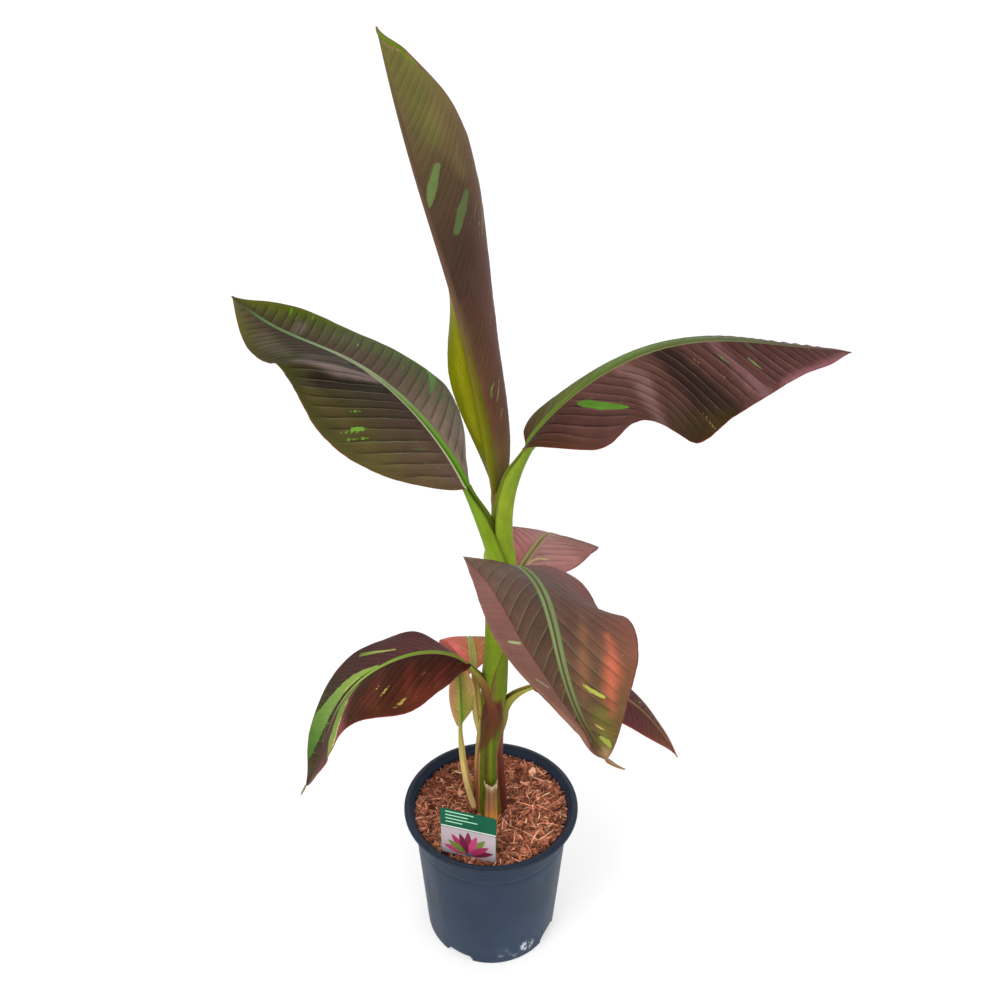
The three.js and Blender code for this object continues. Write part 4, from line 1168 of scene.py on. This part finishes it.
def build_stem(material):
    """The false stem: sheaths over one another, from the inside out, in relief and in colour."""
    rows, sides = 260, 200
    foot, fork = STEM["foot"], STEM["fork"]
    z = np.linspace(foot, fork + COLLAR, rows)
    t = np.clip((z - foot) / (fork - foot), 0, 1)
    angle = full_circle(sides)
    tint = np.zeros((rows, sides, 3)) + linear(106, 148, 34)
    hidden = np.zeros((rows, sides))
    for sheath in SHEATHS[::-1]:
        top = sheath["top"]
        shown = smooth(top - z, 0, 10)[:, None]
        reach = between((sheath["narrow"], sheath["cover"]), smooth(top - z, 0, sheath["taper"]))[:, None]
        away = np.degrees(apart(angle[None, :], math.radians(sheath["turn"])))
        away = away + 2.5 * wander(z / 25, int(top))[:, None]
        inside = reach - np.abs(away)
        cover = smooth(inside, -1, 4) * shown
        hidden += (1 - cover) * shown
        body = gradient(sheath["tint"], (z - foot) / (top - foot))[:, None, :] + np.zeros((1, sides, 1))
        for middle, half, low, high, colour, strength in sheath["streaks"]:
            run = smooth(z, low, low + 20) * smooth(high - z, 0, 20)
            body = mix(body, linear(*colour), strength * bell(away, middle, half) * run[:, None])
        body = mix(body, linear(*sheath["edge"]), 0.6 * bell(inside, 3, 4))
        tint = mix(tint, body, cover)
    away = np.degrees(apart(angle[None, :], math.radians(BLOTCH["turn"])))
    ragged = 7 * wander(angle * 9, 77)[None, :] + 3 * wander(angle * 31, 78)[None, :]
    low_end = smooth(z[:, None] - BLOTCH["z"] - BLOTCH["lean"] * away + ragged, -3, 7)
    high_end = smooth(BLOTCH["z"] + BLOTCH["height"] - z, 0, 30)[:, None]
    blotch = low_end * high_end * smooth(BLOTCH["reach"] - np.abs(away), 0, 14)
    tint = mix(tint, linear(*BLOTCH["colour"]), 0.85 * blotch) * np.array(STEM_DEPTH)
    heights = np.repeat(z[:, None], sides, 1)
    r = blend(STEM["radius"], t)[:, None] - SHEATH_THICK * hidden
    r = r * (1 - 0.5 * smooth(z, fork, fork + COLLAR)[:, None])
    r = r + 0.25 * wander2(heights / 30, 3 * np.sin(angle)[None, :], 5)
    points = ring_points(r, angle, heights)
    points[..., 0] += blend(STEM["lean"], t)[:, None]
    tint = np.clip(tint, 0, 1).reshape(-1, 3)
    values = dict(tint=tint, phase=np.tile(angle * 4, rows), out=heights.ravel())
    attributes = {key: with_ends(column) for key, column in values.items()}
    points = with_ends(points.reshape(-1, 3), sides)
    return make_mesh("stem_sheaths", points, tube_faces(rows, sides), material, attributes)


# Dry sheath
DRY_SHEATH = dict(height=58, radius=7, thick=0.7, cover=100, back=-24.5, lean=5)
DRY_COLOURS = [
    (196, 118, 44), (206, 136, 58), (196, 134, 70), (176, 122, 74), (158, 112, 74), (140, 102, 70),
    (150, 116, 84), (206, 184, 148),
]


def build_dry_sheath(material):
    """A torn dry sheath that stands open behind, before the stem's foot."""
    rows, cols = 60, 60
    v = np.linspace(0, 1, rows)[:, None]
    a = np.radians(-90 - DRY_SHEATH["cover"] + 2 * DRY_SHEATH["cover"] * np.linspace(0, 1, cols))[None, :]
    ragged = 1 - 0.10 * (0.5 + 0.5 * wander(a * 5, 4)) - 0.06 * np.abs(np.sin(a * 3))
    z = STEM["foot"] + DRY_SHEATH["height"] * v * ragged
    r = DRY_SHEATH["radius"] - v + 0.5 * wander2(a * 4, v * 5, 8) + 0.9 * smooth(v, 0.86, 1.0)
    points = both_faces(ring_points(r, a, z), ring_points(r - DRY_SHEATH["thick"], a, z))
    points[..., 1] += DRY_SHEATH["back"] + DRY_SHEATH["lean"] * v
    turns = np.repeat(a, rows, 0)
    around = both_faces(turns, turns).ravel()
    tint = gradient(DRY_COLOURS, np.repeat(v, 2 * cols, 1).ravel())
    tint = np.clip(tint * (1 + 0.35 * wander(around * 9, 12))[:, None], 0, 1)
    attributes = dict(tint=tint, phase=around * 5, out=points[..., 2].ravel())
    return make_mesh("dry_sheath_skin", points, sheet_faces(rows, cols), material, attributes)


# Pot
POT = dict(height=166, top=86, base=73, wall=2.2, floor=3, lip=5.5, step=135, step_depth=0.7)
# Points of its profile as radius and height, those of the lip's bead above the lip's foot
FOOT_PROFILE = [
    (0, 1.6), (20, 1.6), (48, 1.6), (61, 1.6), (62.5, 0.4), (64, 0), (70.5, 0), (71.6, 0.15), (72.4, 0.6),
]
LIP_PROFILE = [
    (93.2, 0), (94.2, 0.25), (94.8, 0.8), (95, 1.5), (94.95, 2.6), (94.7, 3.5), (94.2, 4.2),
    (93.5, 4.55), (92.8, 4.5), (92.3, 4.45), (91.8, 4.7), (91.2, 5.15), (90.4, 5.42), (89.6, 5.5),
    (88.8, 5.3), (88.2, 4.8), (87.9, 4), (87, 2.4), (86, 0.8),
]
NOTCH = dict(count=4, first=-29, width=31, height=12, depth=5)
# Where the wall is scuffed, in metres
SCUFF = (0.039, -0.063, 0.016)


def wall_radius(z):
    return POT["base"] + (POT["top"] - POT["base"]) * np.asarray(z, float) / (POT["height"] - POT["lip"])


def on_wall(z, shift=0.0):
    return float(wall_radius(z)) + shift, float(z)


def build_pot(material):
    """The pot, turned from a profile that runs up its outside and down its inside."""
    lip, step, sunk = POT["height"] - POT["lip"], POT["step"], POT["step_depth"]
    below_step = np.linspace(18, step - 2, 18)
    profile = FOOT_PROFILE + [on_wall(z) for z in np.linspace(1.2, 16, 26)]
    profile += [on_wall(z, -0.5 * sunk * float(smooth(z, 30, 120))) for z in below_step]
    outside = len(profile)
    profile += [(on_wall(step, -sunk)[0], step - 1.0), on_wall(step, -0.1)]
    profile += [(on_wall(step, 0.15)[0], step + 0.8)]
    profile += [on_wall(z) for z in np.linspace(step + 3, lip - 1.6, 8)]
    neck = float(wall_radius(lip))
    profile += [(neck + 0.6, lip - 0.5), (neck + 1.6, lip + 0.02)]
    profile += [(r, lip + up) for r, up in LIP_PROFILE]
    profile += [(neck - 2.0, lip - 1.4)]
    profile += [on_wall(z, -POT["wall"]) for z in np.linspace(lip - 8, 4, 24)]
    profile += [(on_wall(POT["floor"], -POT["wall"])[0] - 0.8, POT["floor"])]
    profile += [(40, POT["floor"]), (0, POT["floor"])]
    profile = np.array(profile, float)
    sides = 288
    angle = full_circle(sides)
    r, z = np.repeat(profile[:, :1], sides, 1), np.repeat(profile[:, 1:], sides, 1)
    # arched recesses in the foot, on the outer side only
    outer = (r > 61) & (z < 17) & (np.arange(len(profile))[:, None] < outside)
    for k in range(NOTCH["count"]):
        middle = math.radians(NOTCH["first"] - 90 + k * 360 / NOTCH["count"])
        away = np.abs(apart(angle, middle)) * POT["base"]
        arch = NOTCH["height"] * np.sqrt(np.maximum(0, 1 - (away / (NOTCH["width"] / 2)) ** 2))
        depth = smooth(arch[None, :] - z, -0.6, 0.6) * (away < NOTCH["width"] / 2 + 0.5)[None, :]
        r = np.where(outer, np.minimum(r, r - depth * (r - (POT["base"] - NOTCH["depth"]))), r)
    # the moulded wall is very slightly uneven
    uneven = 0.12 * np.sin(3 * angle + 1)[None, :] + 0.08 * np.sin(7 * angle)[None, :]
    r = np.where((z > 20) & (z < lip - 3), r + uneven, r)
    return make_mesh("pot_shell", ring_points(r, angle, z), [grid_faces(len(profile), sides)], material)


def pot_material():
    """Blue-grey plastic, dusty at its foot, with faint scratches and one scuff."""
    n = Nodes("pot plastic")
    coords = n.add("ShaderNodeTexCoord").outputs["Object"]
    split = n.add("ShaderNodeSeparateXYZ")
    n.put(coords, split.inputs[0])
    height = split.outputs[2]
    cloud = n.noise(9, 4)
    colour = n.mix(linear(26, 40, 57), linear(37, 53, 73), n.step(cloud, 0.3, 0.72))
    streak = n.noise(60, 4, 0.6, stretch=(1, 1, 0.08))
    colour = n.scale(colour, n.vary(streak, 0.93, 1.07))
    colour = n.mix(colour, linear(34, 40, 50), n.times(n.step(height, 0.1605, 0.163), 0.6))
    speck = n.times(n.step(n.noise(38, 6, 0.7), 0.62, 0.70), n.fall(height, 0.004, 0.03))
    colour = n.mix(colour, linear(150, 146, 140), n.times(speck, 0.5))
    away = n.add("ShaderNodeVectorMath", operation="DISTANCE")
    n.put(coords, away.inputs[0])
    away.inputs[1].default_value = SCUFF
    near = n.fall(away.outputs["Value"], 0.004, 0.012)
    rub = n.times(n.step(n.noise(210, 5, 0.7, stretch=(1, 1, 0.4)), 0.50, 0.58), near)
    colour = n.mix(colour, linear(206, 212, 220), n.times(rub, 0.8))
    scratch = n.step(n.noise(26, 5, 0.7, stretch=(1, 1, 5)), 0.68, 0.76)
    colour = n.mix(colour, linear(120, 128, 138), n.times(scratch, 0.25))
    normal = n.bump(n.plus(n.times(n.noise(900, 2), 0.4), cloud), 0.12, 0.0006)
    return n.finish(colour, n.vary(streak, 0.40, 0.52), normal, Specular_IOR_Level=0.14)


# Mulch
SOIL = dict(top=157, edge_drop=0.8, flat=32, reach=84)
CHIP_COLOURS = [
    (172, 108, 82), (150, 90, 66), (190, 126, 98), (132, 78, 56), (108, 60, 44), (208, 146, 116),
    (92, 52, 38), (222, 164, 130), (164, 104, 74), (140, 86, 64), (180, 112, 84), (160, 96, 72),
]
CHIP_SHADE = (0.36, 1.6)
CHIP_LAYERS = [
    dict(count=2400, length=9, width=2.4, thick=1.4, level=-0.3, tone=0.9),
    dict(count=2300, length=10, width=1.9, thick=1.2, level=0.9, tone=1.0),
    dict(count=1500, length=12, width=1.5, thick=1.0, level=2.1, tone=1.05),
    dict(count=70, length=12, width=6, thick=2.0, level=2.4, tone=1.0),
    dict(count=520, length=15, width=0.9, thick=0.7, level=2.9, tone=1.5),
]
# Shreds start inside CHIP_REACH and end inside CHIP_LIMIT. Places kept free of them are (x, y,
# radius) for the stem and the dry sheath, and a half length and half width for the label.
CHIP_REACH = 83.0
CHIP_LIMIT = 84.2
CLEARINGS = [(-0.5, 0, 17), (0, -24.5, 8)]
CARD_CLEARING = (32, 3.5)
# Along a shred: place and width. Round it: corners as shares of its half width and half depth.
CHIP_STATIONS = [(-0.5, 0.35), (-0.18, 1.0), (0.16, 0.9), (0.5, 0.3)]
CHIP_CORNERS = [(-1, -0.6), (1, -1), (0.85, 0.8), (-0.9, 1)]


def soil_height(x, y):
    drop = SOIL["edge_drop"] * smooth(np.hypot(x, y), SOIL["flat"], SOIL["reach"])
    return SOIL["top"] - 0.8 - drop + 0.9 * wander2(x / 7, y / 7, 31) + 1.1 * wander2(x / 18, y / 18, 33)


def build_soil(material):
    """The uneven bed below the shreds, down to the pot's floor."""
    rings, sides = 60, 160
    bottom = POT["floor"] + GAP
    limit = float(wall_radius(150)) - POT["wall"] - 0.4
    r = np.linspace(0.02, 1, rings) ** 0.9 * limit
    angle = full_circle(sides)
    x, y = r[:, None] * np.cos(angle), r[:, None] * np.sin(angle)
    bed = np.stack([x, y, soil_height(x, y)], -1).reshape(-1, 3)
    wall = [(limit, 146), (float(wall_radius(80)) - 2.6, 80), (float(wall_radius(4)) - 3.0, bottom)]
    low = [ring_points(radius, angle, z) for radius, z in wall]
    points = np.vstack([bed, *low, [[0, 0, float(soil_height(0, 0))]], [[0, 0, bottom]]])
    tone = np.clip(0.5 + 0.5 * wander2(points[:, 0] / 4, points[:, 1] / 4, 35), 0, 1)
    # dark soil, darkened further as painted shade for the gaps between the shreds
    tint = mix(np.repeat([linear(34, 20, 14)], len(points), 0), linear(70, 42, 30), tone)
    faces = tube_faces(rings + len(wall), sides, inward=True)
    return make_mesh("mulch_bed", points, faces, material, dict(tint=tint))


def build_chips(name, count, length, width, thick, level, tone, material, seed):
    """Bark shreds laid over the bed: each a bent, tapered sliver, all of them one mesh."""
    local = np.random.default_rng(seed)
    r = CHIP_REACH * np.sqrt(local.uniform(0.0, 1, count))
    a = local.uniform(0, 2 * np.pi, count)
    x, y = r * np.cos(a), r * np.sin(a)
    keep = np.full(count, True)
    for clear_x, clear_y, radius in CLEARINGS:
        keep &= np.hypot(x - clear_x, y - clear_y) > radius
    card_x, card_y = math.cos(math.radians(LABEL["turn"])), math.sin(math.radians(LABEL["turn"]))
    rel = np.stack([x - LABEL["centre"][0], y - LABEL["centre"][1]], -1)
    along, off = rel @ np.array([card_x, card_y]), rel @ np.array([-card_y, card_x])
    keep &= ~((np.abs(along) < CARD_CLEARING[0]) & (np.abs(off) < CARD_CLEARING[1]))
    x, y = x[keep], y[keep]
    count = len(x)
    size = np.exp(local.normal(0, 0.35, count))
    long_ = length * size * local.uniform(0.7, 1.3, count)
    wide = width * np.exp(local.normal(0, 0.35, count))
    deep = thick * np.exp(local.normal(0, 0.3, count))
    turn = local.uniform(0, 2 * np.pi, count)
    tilt = local.normal(0, 0.22, count)
    roll = local.normal(0, 0.5, count)
    # stay inside the wall
    away = np.hypot(x, y)
    inward = np.maximum(0, away + long_ / 2 - CHIP_LIMIT)
    x, y = x * (1 - inward / np.maximum(away, 1)), y * (1 - inward / np.maximum(away, 1))
    z = soil_height(x, y) + level + local.uniform(-0.6, 0.9, count)
    ahead = np.stack([np.cos(turn) * np.cos(tilt), np.sin(turn) * np.cos(tilt), np.sin(tilt)], -1)
    side = np.stack([-np.sin(turn), np.cos(turn), 0 * turn], -1)
    up = np.cross(ahead, side)
    cos, sin = np.cos(roll)[:, None], np.sin(roll)[:, None]
    side, up = side * cos + up * sin, up * cos - side * sin
    centre = np.stack([x, y, z], -1)
    bend = local.normal(0, 0.07, count) * long_
    corners = []
    for s, share in CHIP_STATIONS:
        taper = share * local.uniform(0.7, 1.25, count)
        middle = centre + ahead * (s * long_)[:, None] + side * (bend * (0.25 - s * s) * 4)[:, None]
        middle = middle + up * local.normal(0, 0.25, count)[:, None]
        for across, lift in CHIP_CORNERS:
            corner = middle + side * (across * wide / 2 * taper)[:, None]
            corners.append(corner + up * (lift * deep / 2 * (0.5 + 0.5 * taper))[:, None])
    number = len(corners)
    sides = [[k + q, k + (q + 1) % 4, k + (q + 1) % 4 + 4, k + q + 4] for k in (0, 4, 8) for q in range(4)]
    faces = np.array(sides + [[3, 2, 1, 0], [12, 13, 14, 15]])
    faces = (np.arange(count)[:, None, None] * number + faces[None]).reshape(-1, 4)
    palette = np.array([linear(*c) for c in CHIP_COLOURS])
    tint = palette[local.integers(0, len(palette), count)] * local.uniform(*CHIP_SHADE, (count, 1)) * tone
    tint = np.repeat(tint, number, 0)
    return make_mesh(name, np.stack(corners, 1), [faces], material, dict(tint=tint), flat=True)


def bark_material():
    n = Nodes("bark")
    cloud = n.noise(260, 4, 0.7)
    fibre = n.noise(1400, 3, 0.7)
    light = n.plus(n.vary(cloud, 0.7, 1.2), n.vary(fibre, -0.16, 0.16))
    colour = n.scale(n.attribute("tint", "Color"), light)
    return n.finish(colour, 0.8, n.bump(n.plus(fibre, cloud), 0.5, 0.0008), Specular_IOR_Level=0.15)


# Label
LABEL = dict(
    width=59, height=60, thick=0.7, corner=3, stake=16, depth=34, point=12, centre=(-23, -70), turn=-15.8)
# Heights on the card, above its foot, and how far the print stands out
PANEL = (0.8, 36)
PANEL_LINE = (36.8, 38.2)
PANEL_MARGIN = 1.2
DASHES = dict(widths=(30, 24, 34, 18), first=57, gap=4.4, half=0.55, left=-24)
PRINT = 0.12
CARD_GREEN = (3, 74, 52)
PRINTED_LEAVES = [(96, 30, 52), (140, 44, 80), (96, 112, 52), (166, 60, 100), (112, 36, 62)]


def on_card(x, z, y=0.0):
    """Points of the card's own plane, in the frame."""
    c, s = math.cos(math.radians(LABEL["turn"])), math.sin(math.radians(LABEL["turn"]))
    x, y, z = np.broadcast_arrays(np.asarray(x, float), y, z)
    return np.stack([x * c - y * s + LABEL["centre"][0], x * s + y * c + LABEL["centre"][1], z], -1)


def panel_outline(width, low, high, corner, steps=8):
    """The outline of a round-cornered panel as x and z, anticlockwise from the front."""
    right, top, bottom = width / 2 - corner, high - corner, low + corner
    points = []
    for x, z, start in ((right, top, 0), (-right, top, 90), (-right, bottom, 180), (right, bottom, 270)):
        for k in range(steps + 1):
            turn = math.radians(start + 90 * k / steps)
            points.append((x + corner * math.cos(turn), z + corner * math.sin(turn)))
    return np.array(points)


def leaf_outline(x, z, length, width, turn, steps=14):
    """A generic pointed leaf."""
    t = np.linspace(0, 1, steps)
    half = width / 2 * np.sin(np.pi * t) ** 0.8
    along = np.concatenate([t * length, (t * length)[::-1][1:-1]])
    off = np.concatenate([-half, half[::-1][1:-1]])
    c, s = math.cos(math.radians(turn)), math.sin(math.radians(turn))
    return np.stack([x + along * c - off * s, z + along * s + off * c], -1)


def slab(name, outline, front, back, material, shade):
    """A flat panel with its outline's edges eased."""
    count = len(outline)
    centre = outline.mean(0)
    inner = centre + (outline - centre) * (1 - 0.25 / np.abs(outline - centre).max())
    ease = 0.1 * np.sign(back - front)
    rings = [(inner, front), (outline, front + ease), (outline, back - ease), (inner, back)]
    points = [on_card(shape[:, 0], shape[:, 1], y) for shape, y in rings]
    points = np.vstack([*points, on_card(*centre, front), on_card(*centre, back)])
    tint = np.repeat([linear(*shade)], len(points), 0)
    faces = tube_faces(len(rings), count, inward=True)
    return make_mesh(name, points, faces, material, dict(tint=tint), flat=True)


def card_material():
    n = Nodes("printed card")
    cloud = n.noise(45, 4)
    colour = n.scale(n.attribute("tint", "Color"), n.vary(cloud, 0.93, 1.07))
    normal = n.bump(n.noise(300, 2), 0.06, 0.0004)
    return n.finish(colour, n.vary(cloud, 0.3, 0.42), normal, Specular_IOR_Level=0.12)


def build_label(material):
    """A green card on a stake, with a panel of plain leaf shapes and four dashes."""
    foot = SOIL["top"] + GAP
    half = LABEL["thick"] / 2
    front, sunk = -half - PRINT, -half + 0.02
    s, deep, point = LABEL["stake"] / 2, foot - LABEL["depth"], LABEL["point"]
    card = panel_outline(LABEL["width"], foot, foot + LABEL["height"], LABEL["corner"])
    stake = [(s, foot + 2), (-s, foot + 2), (-s, deep + point)]
    stake += [(-1.5, deep + 1), (1.5, deep + 1), (s, deep + point)]
    panel = panel_outline(LABEL["width"] - PANEL_MARGIN, foot + PANEL[0], foot + PANEL[1], 1.2)
    line = panel_outline(LABEL["width"] - PANEL_MARGIN, foot + PANEL_LINE[0], foot + PANEL_LINE[1], 0.5)
    pieces = [
        slab("label_card", card, -half, half, material, CARD_GREEN),
        slab("label_stake", np.array(stake), -half * 0.9, half * 0.9, material, CARD_GREEN),
        slab("label_panel", panel, front, sunk, material, (158, 146, 150)),
        slab("label_line", line, front, sunk, material, (190, 196, 184)),
    ]
    for k, turn in enumerate(np.linspace(18, 162, 9)):
        length = 26 + 5.5 * math.sin(math.radians(turn)) - 2.5 * (k % 2)
        shape = leaf_outline(0.0, foot + 3.2, length, 7.8, turn)
        near = front - 0.05 - 0.03 * (k % 2)
        shade = PRINTED_LEAVES[k % len(PRINTED_LEAVES)]
        pieces.append(slab(f"label_leaf_{k}", shape, near, front + 0.02, material, shade))
    pot = np.array([(4.6, foot + 5.4), (-4.6, foot + 5.4), (-3.4, foot + 1.6), (3.4, foot + 1.6)])
    pieces.append(slab("label_pot", pot, front - 0.14, front + 0.02, material, (70, 82, 98)))
    for row, wide in enumerate(DASHES["widths"]):
        z = foot + DASHES["first"] - row * DASHES["gap"]
        dash = panel_outline(wide, z - DASHES["half"], z + DASHES["half"], 0.5)
        dash[:, 0] += DASHES["left"] + wide / 2
        pieces.append(slab(f"label_dash_{row}", dash, front, sunk, material, (160, 205, 176)))
    return join("plant_label", pieces)


# Build everything
stalks = stalk_material("leaf stalk")
for key, leaf in LEAVES.items():
    look = {**PLAIN_LOOK, **LOOKS[key]}
    ends = ("_near", "_far") if "bend" in leaf else ("",)
    blade = build_blade("leaf_" + key, leaf, look, leaf_material("leaf " + key.replace("_", " "), look))
    place(blade, *["blade_" + key + end for end in ends], slot="leaf_" + key)
    place(build_stalk("petiole_" + key, leaf, STALKS[key], stalks), "stalk_" + key, slot="leaf_stalk")

place(build_stem(stalk_material("stem sheath")), "stem", slot="stem")
place(build_dry_sheath(stalk_material("dry sheath")), "dry_sheath", slot="dry_sheath")
place(build_pot(pot_material()), "pot", slot="pot_plastic")
bark = bark_material()
place(build_soil(bark), "mulch", slot="mulch")
for number, layer in enumerate(CHIP_LAYERS):
    chips = build_chips(f"bark_shreds_{number}", material=bark, seed=40 + number, **layer)
    place(chips, "mulch", slot="mulch")
place(build_label(card_material()), "label", slot="label_card")


# Floor and light
def build_backdrop(material):
    """A pale floor that curves up behind the plant and round its sides."""
    rings = [(0.02, 0), (600, 0), (1500, 0)]
    rings += [(1500 + 900 * math.sin(a), 900 * (1 - math.cos(a))) for a in np.radians(np.linspace(6, 90, 15))]
    rings += [(2400, 2200), (2400, 3600)]
    sides = 96
    points = [ring_points(r, full_circle(sides), z - 0.5) for r, z in rings]
    return make_mesh("floor", points, [grid_faces(len(rings), sides)[:, ::-1]], material)


floor_nodes = Nodes("floor")
floor_nodes.finish((0.62, 0.62, 0.62), 0.95, Specular_IOR_Level=0.0, Emission_Strength=0.36)
floor_nodes.shader.inputs["Emission Color"].default_value = (1, 1, 1, 1)
floor = build_backdrop(floor_nodes.material)

world = bpy.data.worlds.new("studio")
bpy.context.scene.world = world
world.use_nodes = True
world.node_tree.nodes["Background"].inputs[0].default_value = (1, 1, 1, 1)
world.node_tree.nodes["Background"].inputs[1].default_value = 0.5
bpy.context.scene.view_settings.view_transform = "Standard"


def area_light(name, at, target, size, power):
    data = bpy.data.lights.new(name, "AREA")
    data.shape, data.size, data.energy = "DISK", size, power
    data.specular_factor = 0.35
    lamp = bpy.data.objects.new(name, data)
    bpy.context.scene.collection.objects.link(lamp)
    lamp.location = at
    lamp.rotation_euler = (Vector(target) - Vector(at)).to_track_quat("-Z", "Y").to_euler()


area_light("key", (-0.9, -1.1, 2.1), (0, 0, 0.4), 1.2, 20)
area_light("fill", (1.3, -1.0, 1.4), (0, 0, 0.4), 1.4, 7)
area_light("back", (0.4, 1.3, 1.8), (0, 0, 0.5), 1.0, 5)
area_light("front", (0.3, -1.6, 0.8), (0, 0, 0.35), 1.2, 8)
area_light("left", (-1.4, -1.1, 0.6), (0, 0, 0.15), 0.9, 4)
